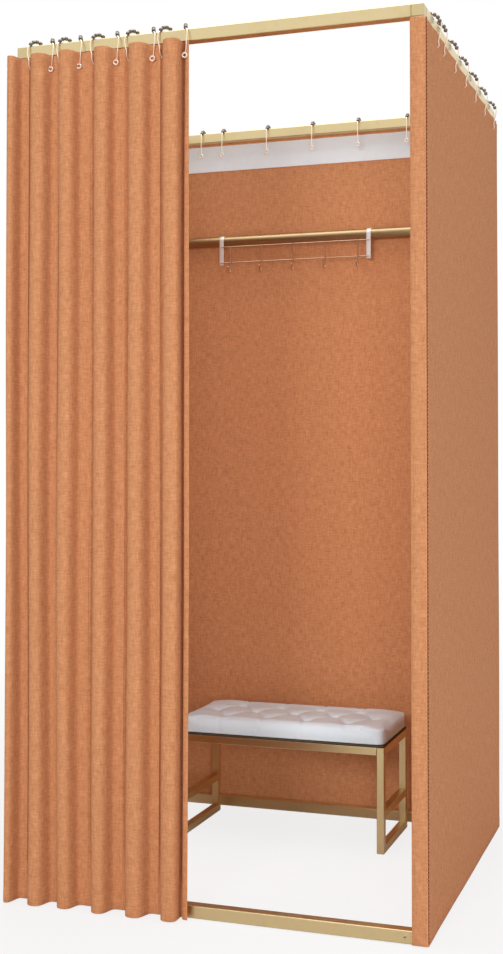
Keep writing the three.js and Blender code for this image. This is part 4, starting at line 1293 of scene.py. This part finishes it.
# %% [markdown]
# ## The header tapes
# A white woven tape is sewn inside the top edge of each fixed panel. It is thin, with a turned edge at the
# top and the foot, and it is made as the panels are, with less thickness.

# %% Header tapes
tape_drop, tape_hem, tape_thickness = 0.0035, 0.009, 0.0011
for side in ("rear", "left", "right"):
    node = f"header_tape_{side}"
    lo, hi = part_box(node)
    x, y = (lo.x + hi.x) / 2, (lo.y + hi.y) / 2
    tape_ends = {
        "rear": [(hi.x, y), (lo.x, y)],
        "left": [(x, hi.y), (x, lo.y)],
        "right": [(x, lo.y), (x, hi.y)],
    }
    ends = tape_ends[side]
    tape, width, height = hanging_sheet(
        f"{side}_header_tape",
        lambda share: rounded_line(ends, 0.001),
        hem_heights(lo.z, hi.z - tape_drop, 6, tape_hem),
        tape_thickness,
        white_tape,
        hem=tape_hem,
    )
    place_on(tape, "white_tape", "booth", node)
print("tape height", round((hi.z - lo.z) * 1000), "mm")

# %% [markdown]
# ## The front curtain
# The curtain is one cloth in six folds. Each fold has a steep left side that tucks under itself, a rounded
# front, and a gentle right side that runs out into a flat valley. The hooks hold the valleys. When the
# curtain is drawn, the valleys part and the fold between them opens. Each fold is therefore a piece of its
# own, from one valley's middle to the next. A cloth simulation would hang a curtain too, but the folds
# stand in measured places, so they are drawn as splines.

# %% Where the folds start, how wide they are and how deep
valley_y = frame_middle.y - half_depth - 0.0019 - panel_thickness / 2
fold_shares = [0, 0.134, 0.293, 0.487, 0.672, 0.856]
fold_widths = [0.026, 0.043, 0.044, 0.044, 0.048, 0.041]
depth_at_hem, depth_at_top, cloth_shift = 0.038, 0.033, 0.004
fold_count = len(fold_shares)


def fold_start(k, share):
    sway = 0.0025 * math.sin(2 * math.pi * share + k) * (1 - share)
    return curtain_left + cloth_shift + panel_thickness / 2 + fold_shares[k] * gathered_width + sway


def fold_width(k, share):
    return fold_widths[k] * (1 + 0.05 * math.sin(7 * share + 1.7 * k) * (1 - 0.5 * share))


def fold_depth(k, share):
    depth = depth_at_hem + (depth_at_top - depth_at_hem) * share
    return depth * (1 + 0.05 * math.sin(9 * share + 2.3 * k))


def valley_middle(k, share):
    """The middle of the valley between fold k and the next one."""
    return (fold_start(k, share) + fold_width(k, share) + fold_start(k + 1, share)) / 2


print("the second fold is", round(fold_depth(1, 0.5) * 1000), "mm deep at mid height")


# %% The line of a fold in plan
def tuck(share):
    """How far a crease may go back: all the way above the bottom rail and nothing in front of it."""
    return min(1.0, max(0.0, (share - 0.02) / 0.06))


def fold_line(k, share):
    """The fold's line as (x, y) points, planned in metres from its left edge and in shares of its depth."""
    start, width, depth = fold_start(k, share), fold_width(k, share), fold_depth(k, share)
    back = tuck(share)
    if k == 0:
        left = [(start + 0.013, 0.0), (start + 0.008, 0.2), (start - 0.001, 0.48), (start + 0.004, 0.88)]
    else:
        left = [(valley_middle(k - 1, share), 0.0), (start - 0.0265, 0.0), (start - 0.020, -0.02)]
        left += [(start - 0.017, -0.20 * back), (start - 0.0115, -0.26 * back), (start - 0.0065, 0.12)]
        left += [(start - 0.0035, 0.50), (start + 0.0005, 0.90)]
    left += [(start + 0.22 * width, 1.07)]
    flap = 0.42 - 0.27 * share**6
    if k < fold_count - 1:
        right = [(start + 0.48 * width, 1.09), (start + 0.71 * width, 0.98), (start + 0.83 * width, 0.5)]
        right += [(start + 0.92 * width, 0.02), (start + width + 0.010, -0.02)]
        right += [(valley_middle(k, share), 0.0)]
    else:
        right = [(start + 0.021, 1.10), (start + 0.033, 1.02), (start + 0.0365, 0.72), (start + 0.0355, 0.25)]
        right += [(start + 0.0355, -0.04 - 0.2 * back), (start + 0.0385, -0.05 - 0.36 * back)]
        right += [(start + 0.042, -0.02 - 0.2 * back), (start + 0.0425, flap - 0.17)]
        right += [(start + 0.0465, flap - 0.02), (start + 0.057 - 0.004 * share**6, flap)]
    return spline([(x, valley_y - deep * depth) for x, deep in left + right], 6)


print("a fold's line has", len(fold_line(1, 0.5)), "points")

# %% The folds and their hem stitches
curtain_levels = hem_heights(hem_z, cloth_top, 70)
fold_ripple, seam_lift, lay_start = 0.0011, 0.0013, 0.0
for k in range(fold_count):
    fold, width, height = hanging_sheet(
        f"curtain_fold_{k + 1}",
        lambda share: fold_line(k, share),
        curtain_levels,
        panel_thickness,
        terracotta_cloth,
        lay_start,
        ripple=fold_ripple,
    )
    lay_start += width
    middle_start = fold_start(k, 0.5)
    ends = [middle_start + share * fold_widths[k] for share in (0.12, 0.76)]
    hem_line = fold_line(k, 0.01)
    out = np.gradient(hem_line, axis=0)
    out = np.stack([out[:, 1], -out[:, 0]], axis=1) / np.linalg.norm(out, axis=1)[:, None]
    seam = [(x + n[0] * seam_lift, y + n[1] * seam_lift, hem_seam) for (x, y), n in zip(hem_line, out)]
    stitches = sewn(f"fold_{k + 1}_hem_stitches", [seam])
    for piece in (fold, stitches):
        start, end = (ends[0], valley_y, 1.0), (ends[1], valley_y, 1.0)
        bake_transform(piece)
    sections = [f"curtain_section_{k + 1}"] + ([f"curtain_section_{k + 2}"] if k == fold_count - 1 else [])
    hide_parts(*sections)
print("curtain cloth", round(lay_start, 3), "m wide before gathering")

# %% [markdown]
# ## Eyelets
# Where every second hook's outer prong meets the curtain, a small pressed eyelet keeps the cloth from
# tearing. The fixed hooks' inner prongs end in a ring too. They repeat, so they are rings on points as well.

# %% A tree that presses an eyelet on every point
eyelets, eyelets_in, eyelets_out = new_group(
    "eyelets",
    "GeometryNodeTree",
    [
        ("Points", "Geometry"),
        ("Ring Radius", "Float", 0.0052),
        ("Lip Radius", "Float", 0.0022),
        ("Flatness", "Float", 0.8),
        ("Finish", "Material"),
    ],
    [("Eyelets", "Geometry")],
)
ring_feeds = {"Resolution": 28, "Radius": eyelets_in["Ring Radius"]}
ring_line = add(eyelets, "GeometryNodeCurvePrimitiveCircle", ring_feeds).outputs[0]
ring = rod(eyelets, ring_line, eyelets_in["Lip Radius"], 10)
flat_ring = moved(eyelets, ring, scale=vector(eyelets, 1.0, 1.0, eyelets_in["Flatness"]))
ring_turn = aimed(eyelets, own_value(eyelets, "facing", "FLOAT_VECTOR"))
ring_row = on_points(eyelets, eyelets_in["Points"], flat_ring, ring_turn)
give(eyelets, eyelets_out, Eyelets=coated(eyelets, smooth(eyelets, ring_row), eyelets_in["Finish"]))

# %% Rings on the curtain and on the fixed hooks
ring_reach, ring_drop, ring_offset = 0.0290, 0.0640, 0.0030
inner_ring_drop = 0.0705
for body, group in front_hooks.items():
    spots = []
    for _, x, turn in group:
        if turn == front_turns[1]:
            ring_x = x + ring_reach * math.sin(turn) - ring_offset
            spots.append((ring_x, beam_y - ring_reach * math.cos(turn), beam_top - ring_drop))
    if spots:
        points = points_object(f"{body}_rings", spots, facing=[(0.2, -1, 0.1)] * len(spots))
        place_on(grown(points, eyelets, finish=ring_metal), "hook_metal", body)
for row, stands in fixed_rows.items():
    spots, facings = [], []
    for x, y, turn in stands:
        inward = Vector((-math.sin(turn + fixed_turns[row]), math.cos(turn + fixed_turns[row]), 0))
        spots.append(Vector((x, y, beam_top - inner_ring_drop)) + inner_reach * inward)
        facings.append(inward)
    points = points_object(f"{row}_inner_rings", spots, facing=facings)
    place_on(grown(points, eyelets, finish=hook_wire_metal, lip_radius=0.0015), "hook_metal", "booth")
eyelet_count = sum(turn == front_turns[1] for group in front_hooks.values() for _, _, turn in group)
print(eyelet_count, "eyelets on the curtain, rings on", len(fixed_rows), "fixed rows")

# %% [markdown]
# ## The bench frame
# Two closed loops of 20 mm square tube make the ends, with a low stretcher in each, and two long rails carry
# the seat. A loop is the rounded square carried round a rectangle with mitred corners.


# %% End loops, rails, stretchers and board
def square_loop(name, x_middle, lo, hi, side, radius, material):
    """A rounded square tube carried round an upright rectangle, mitred at its corners."""
    section = rounded_section(side, side, radius)
    inset = side / 2
    corners_yz = [
        (lo.y + inset, lo.z + inset, -1, -1),
        (hi.y - inset, lo.z + inset, 1, -1),
        (hi.y - inset, hi.z - inset, 1, 1),
        (lo.y + inset, hi.z - inset, -1, 1),
    ]
    rings = []
    for y, z, out_y, out_z in corners_yz:
        ring = [(x_middle + u, y + out_y * v, z + out_z * v) for u, v in section]
        rings.append(ring)
    return flat_faces_flat(skin(name, rings, material, loop=True, sharp=50))


bench_tube, bench_wall, bench_edge, board_edge = 0.020, 0.0012, 0.0016, 0.0015
for side in ("left", "right"):
    lo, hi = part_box(f"bench_end_loop_{side}")
    loop = square_loop(f"{side}_bench_end", (lo.x + hi.x) / 2, lo, hi, bench_tube, bench_edge, champagne)
    place_on(loop, "champagne_tube", "bench", f"bench_end_loop_{side}")
    lo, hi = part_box(f"bench_stretcher_{side}")
    bar = square_tube(f"{side}_bench_stretcher", lo, hi, 1, bench_tube, bench_wall, bench_edge, champagne)
    place_on(bar, "champagne_tube", "bench", f"bench_stretcher_{side}")
for end in ("front", "rear"):
    lo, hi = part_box(f"bench_seat_rail_{end}")
    bar = square_tube(f"{end}_seat_rail", lo, hi, 0, bench_tube, bench_wall, bench_edge, champagne)
    place_on(bar, "champagne_tube", "bench", f"bench_seat_rail_{end}")
lo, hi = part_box("bench_seat_board")
board = block("dark_seat_board", lo, hi, board_edge, seat_board)
place_on(board, "seat_board", "bench", "bench_seat_board")
print("bench tube", round(bench_tube * 1000), "mm, board", round(hi.x - lo.x, 3), "m long")

# %% [markdown]
# ## The tufted cushion
# The seat is foam under leatherette, pulled down at tufts in three rows, with creases from tuft to tuft and
# upright seams on its front and rear. It starts as a smooth pad a little smaller than the space it fills. A
# cloth simulation then blows it up gently while the tufts and the foot are held, so that the skin stretches
# between the tufts as a real cover does. The sewn seams and buttons come afterwards.

# %% A smooth pad to start from
lo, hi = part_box("bench_cushion")
pad_middle = (lo + hi) / 2
pad_half = Vector(((hi.x - lo.x) / 2 - 0.006, (hi.y - lo.y) / 2 - 0.006))
pad_height = 0.042
panel_count, row_shares = 5, (-0.52, 0.0, 0.52)
panel_width = 2 * pad_half.x / panel_count
tufts = []
for row, row_share in enumerate(row_shares):
    count = panel_count if row % 2 else panel_count - 1
    tufts += [((i - (count - 1) / 2) * panel_width, row_share * pad_half.y) for i in range(count)]
tufts = np.array(tufts)
tuft_depth, tuft_radius = 0.010, 0.013


def tuft_bell(x, y, radius):
    away = np.hypot(x[:, None] - tufts[:, 0], y[:, None] - tufts[:, 1]).min(axis=1)
    return np.exp(-((away / radius) ** 2))


print(len(tufts), "tufts in", len(row_shares), "rows")


# %% A closed grid box with rounded corners
def corner_round(x, y, radius):
    """Draws a rectangle's corners in to a radius, for points given as shares of its half sizes."""
    px, py = np.abs(x) * pad_half.x, np.abs(y) * pad_half.y
    cx, cy = px - pad_half.x + radius, py - pad_half.y + radius
    inside = (cx > 0) & (cy > 0)
    scale = np.where(inside, np.maximum(cx, cy) / np.maximum(np.hypot(cx, cy), 1e-9), 1)
    px = np.where(inside, pad_half.x - radius + cx * scale, px)
    py = np.where(inside, pad_half.y - radius + cy * scale, py)
    return np.sign(x) * px, np.sign(y) * py


def pad_start(columns=116, rows=56, layers=9):
    """A closed grid box with rounded corners, its tufts already pressed in a little."""
    points, faces, index = [], [], {}

    def corner(i, j, k):
        key = (i, j, k)
        if key not in index:
            index[key] = len(points)
            points.append((2 * i / (columns - 1) - 1, 2 * j / (rows - 1) - 1, k / (layers - 1)))
        return index[key]

    for i in range(columns - 1):
        for j in range(rows - 1):
            for k, flip in ((0, True), (layers - 1, False)):
                quad = [corner(i, j, k), corner(i + 1, j, k), corner(i + 1, j + 1, k), corner(i, j + 1, k)]
                faces.append(quad[::-1] if flip else quad)

    def upright(i, j, next_i, next_j, k):
        foot = [corner(i, j, k), corner(next_i, next_j, k)]
        faces.append(foot + [corner(next_i, next_j, k + 1), corner(i, j, k + 1)])

    for k in range(layers - 1):
        for i in range(columns - 1):
            upright(i, 0, i + 1, 0, k)
            upright(i + 1, rows - 1, i, rows - 1, k)
        for j in range(rows - 1):
            upright(0, j + 1, 0, j, k)
            upright(columns - 1, j, columns - 1, j + 1, k)
    shares = np.array(points)
    x, y = corner_round(shares[:, 0], shares[:, 1], 0.02)
    up = shares[:, 2]
    top = np.clip((up - 0.75) / 0.25, 0, 1)
    edge = np.maximum(np.abs(shares[:, 0]) ** 8, np.abs(shares[:, 1]) ** 6)
    z = up * pad_height - top * edge * 0.004
    z -= (up > 0.999) * tuft_depth * tuft_bell(x, y, tuft_radius) * (1 - edge)
    return np.column_stack([x, y, z]), faces, up


print("made helpers:", corner_round.__name__, pad_start.__name__)

# %% The pad
pad_points, pad_faces, pad_up = pad_start()
pad_mesh = bpy.data.meshes.new("tufted_cushion")
pad_place = np.array([pad_middle.x, pad_middle.y, lo.z + 0.0008])
pad_mesh.from_pydata((pad_points + pad_place).tolist(), [], pad_faces)
turned_out(pad_mesh)
cushion = new_object("tufted_cushion", pad_mesh, leatherette)
print("pad", len(pad_mesh.vertices), "points,", len(tufts), "tufts")

# %% Blow the pad up with the tufts and the foot held
held = cushion.vertex_groups.new(name="held")
on_tuft = tuft_bell(pad_points[:, 0], pad_points[:, 1], 0.006) * (pad_up > 0.999)
for i, (up, tuft) in enumerate(zip(pad_up, on_tuft)):
    if up < 0.15 or tuft > 0.5:
        held.add([i], 1.0, "REPLACE")
cloth = cushion.modifiers.new("cover", "CLOTH")
cloth.settings.use_pressure = True
cloth.settings.uniform_pressure_force = 5.0
cloth.settings.vertex_group_mass = "held"
cloth.settings.quality = 6
cloth.settings.tension_stiffness = 12
cloth.settings.compression_stiffness = 12
cloth.settings.bending_stiffness = 0.6
cloth.settings.effector_weights.gravity = 0
cloth.collision_settings.use_self_collision = False
cloth.point_cache.frame_start, cloth.point_cache.frame_end = 1, 20
for step in range(1, 21):
    bpy.context.scene.frame_set(step)
blown = cushion.evaluated_get(bpy.context.evaluated_depsgraph_get())
after = np.array([p.co for p in blown.data.vertices])
before = np.array([p.co for p in pad_mesh.vertices])
move = after - before
far = np.linalg.norm(move, axis=1)
limit = 0.008
move *= np.where(far > limit, limit / np.maximum(far, 1e-9), 1)[:, None]
cushion.modifiers.clear()
pad_mesh.vertices.foreach_set("co", (before + move).ravel())
pad_mesh.update()
bpy.context.scene.frame_set(1)
print("cover moved up to", round(float(far.max()) * 1000, 1), "mm, capped at", limit * 1000, "mm")

# %% Seams, creases and one subdivision
crease_width, crease_depth, seam_width, seam_depth = 0.007, 0.0035, 0.004, 0.0022
skin_points = np.array([p.co for p in pad_mesh.vertices])
x, y = skin_points[:, 0] - pad_middle.x, skin_points[:, 1] - pad_middle.y
z = skin_points[:, 2] - lo.z
upper = np.clip((z / pad_height - 0.7) / 0.2, 0, 1)
crease = np.zeros(len(x))
for i, a in enumerate(tufts):
    for b in tufts[i + 1 :]:
        if a[1] == b[1] or abs(a[0] - b[0]) > panel_width or abs(a[1] - b[1]) > pad_half.y:
            continue
        t = np.clip(((x - a[0]) * (b[0] - a[0]) + (y - a[1]) * (b[1] - a[1])) / ((b - a) @ (b - a)), 0, 1)
        away = np.hypot(x - a[0] - t * (b[0] - a[0]), y - a[1] - t * (b[1] - a[1]))
        crease = np.maximum(crease, np.exp(-((away / crease_width) ** 2)))
seam = np.zeros(len(x))
beyond = np.clip((np.abs(y) / pad_half.y - row_shares[-1]) / 0.2, 0, 1)
for i in range(1, panel_count):
    from_seam = (x - (i - panel_count / 2) * panel_width) / seam_width
    seam = np.maximum(seam, np.exp(-(from_seam**2)) * beyond)
skin_points[:, 2] -= upper * crease_depth * crease * (1 - np.clip(seam, 0, 1))
inward = np.column_stack([np.zeros(len(x)), -np.sign(y), np.zeros(len(x))])
side_wall = np.clip((np.abs(y) - pad_half.y + 0.012) / 0.01, 0, 1)
skin_points += inward * (seam_depth * seam * side_wall * np.clip(z / pad_height * 3, 0, 1))[:, None]
skin_points[:, 2] -= upper * (1 - side_wall) * seam_depth * seam
pad_mesh.vertices.foreach_set("co", skin_points.ravel())
pad_mesh.shade_smooth()
cushion.vertex_groups.clear()
finer = cushion.modifiers.new("finer", "SUBSURF")
finer.levels = finer.render_levels = 1
settled(cushion)
place_on(cushion, "white_leatherette", "bench", "bench_cushion")
print("cushion", len(cushion.data.polygons), "faces")

# %% Covered buttons in the tufts
buttons, buttons_in, buttons_out = new_group(
    "covered_buttons",
    "GeometryNodeTree",
    [
        ("Points", "Geometry"),
        ("Button Radius", "Float", 0.0095),
        ("Dome", "Float", 0.42),
        ("Cover", "Material"),
    ],
    [("Buttons", "Geometry")],
)
dome_feeds = {"Segments": 28, "Rings": 16, "Radius": buttons_in["Button Radius"]}
dome = add(buttons, "GeometryNodeMeshUVSphere", dome_feeds).outputs[0]
flat_dome = moved(buttons, dome, scale=vector(buttons, 1.0, 1.0, buttons_in["Dome"]))
domes = on_points(buttons, buttons_in["Points"], flat_dome)
give(buttons, buttons_out, Buttons=coated(buttons, smooth(buttons, domes), buttons_in["Cover"]))
cover_points = np.array([v.co for v in cushion.data.vertices])
seats = []
for tuft_x, tuft_y in tufts:
    spot = np.array([pad_middle.x + tuft_x, pad_middle.y + tuft_y])
    near = np.linalg.norm(cover_points[:, :2] - spot, axis=1) < 0.003
    seats.append((*spot, cover_points[near, 2].max() + 0.0012))
# Their lighter cover is a painted highlight.
tuft_buttons = grown(points_object("tuft_buttons", seats), buttons, cover=lightened_button_cover)
place_on(tuft_buttons, "white_leatherette", "bench")
print("buttons:", len(seats))

# %% [markdown]
# ## Floor, light and background
# A plain pale floor and an even sky stand in for a studio. A soft lamp in front shapes the folds. Others
# fill them from the right, from above and from behind, one shines in through the doorway, and a faint one
# just inside it keeps the rear cloth from going dark. The background is white only for the camera and for
# reflections, so it adds no light of its own. Far from the booth the floor turns white, so that its edge
# never shows.

# %% Floor
floor_mesh = bpy.data.meshes.new("floor")
floor_reach = 30.0
floor_corners = [(x * floor_reach, y * floor_reach, 0) for x, y in ((-1, -1), (1, -1), (1, 1), (-1, 1))]
floor_mesh.from_pydata(floor_corners, [], [(0, 1, 2, 3)])
floor_paint, floor_tree, floor_surface = new_material("pale_floor", roughness=0.9, specular_ior_level=0.1)
floor_surface.inputs["Base Color"].default_value = (0.86, 0.86, 0.86, 1)
seen = add(floor_tree, "ShaderNodeLightPath").outputs
white_glow = add(floor_tree, "ShaderNodeEmission", {"Color": (1, 1, 1, 1), "Strength": 1.0})
floor_place = add(floor_tree, "ShaderNodeTexCoord").outputs["Object"]
far_out = add(floor_tree, "ShaderNodeVectorMath", {0: floor_place}, operation="LENGTH").outputs["Value"]
whiteness = add(
    floor_tree,
    "ShaderNodeMapRange",
    {"Value": far_out, "From Min": 1.2, "From Max": 5.0, "To Min": 0.8, "To Max": 1.0},
    interpolation_type="SMOOTHSTEP",
)
for_eye = number(floor_tree, "MULTIPLY", seen["Is Camera Ray"], whiteness.outputs["Result"])
floor_mix = add(floor_tree, "ShaderNodeMixShader", {0: for_eye})
floor_tree.links.new(floor_surface.outputs[0], floor_mix.inputs[1])
floor_tree.links.new(white_glow.outputs[0], floor_mix.inputs[2])
floor_tree.links.new(floor_mix.outputs[0], floor_tree.nodes["Material Output"].inputs[0])
floor = new_object("floor", floor_mesh, floor_paint)
floor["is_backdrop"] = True
print("floor", 2 * floor_reach, "m across")

# %% Sky and lamps
world = bpy.data.worlds.new("studio")
bpy.context.scene.world = world
world.use_nodes = True
sky = world.node_tree
sky_seen = add(sky, "ShaderNodeLightPath").outputs
seen_direct = number(sky, "MAXIMUM", sky_seen["Is Camera Ray"], sky_seen["Is Transmission Ray"])
shown = number(sky, "MAXIMUM", seen_direct, sky_seen["Is Glossy Ray"])
soft = sky.nodes["Background"]
soft.inputs[0].default_value, soft.inputs[1].default_value = (1, 1, 1, 1), 0.24
white = add(sky, "ShaderNodeBackground", {0: (1, 1, 1, 1), 1: 1.0})
sky_mix = add(sky, "ShaderNodeMixShader", {0: shown, 1: soft.outputs[0], 2: white.outputs[0]})
sky.links.new(sky_mix.outputs[0], sky.nodes["World Output"].inputs[0])


def soft_lamp(name, place, aim, size, power):
    data = bpy.data.lights.new(name, "AREA")
    data.size, data.energy = size, power
    lamp = bpy.data.objects.new(name, data)
    lamp.location = place
    lamp.rotation_euler = (Vector(aim) - Vector(place)).to_track_quat("-Z", "Y").to_euler()
    bpy.context.scene.collection.objects.link(lamp)
    return lamp


front = soft_lamp("front", (-0.1, -5.0, 2.0), (-0.1, 0, 1), 1.0, 80)
doorway = soft_lamp("doorway", (2.0, -4.8, 1.3), (0, 0, 0.8), 1.4, 65)
beside = soft_lamp("beside", (4.6, -0.6, 2.0), (0.5, 0, 1), 2.5, 50)
beside.data.color = (1.0, 0.9, 0.82)
soft_lamp("over", (0.0, 0.0, 4.2), (0, 0, 0), 3.0, 68)
behind = soft_lamp("behind", (-2.4, 4.8, 2.2), (0, 0, 1), 2.0, 95)
inside = soft_lamp("inside", (-0.22, -0.40, 1.05), (-0.10, 0.5, 1.05), 0.4, 2.3)
inside.data.shape, inside.data.size_y = "RECTANGLE", 1.75
inside.visible_camera = False
for lamp in (front, doorway, beside, behind, inside):
    lamp.visible_glossy = False
print("six soft lamps, only the one overhead is seen in the metal")

# %% Keep the sizes and finish
sizes = {"cad": cad_box, "visual": [list(corner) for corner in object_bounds()]}
print("visual box", np.round(sizes["visual"], 4).tolist())
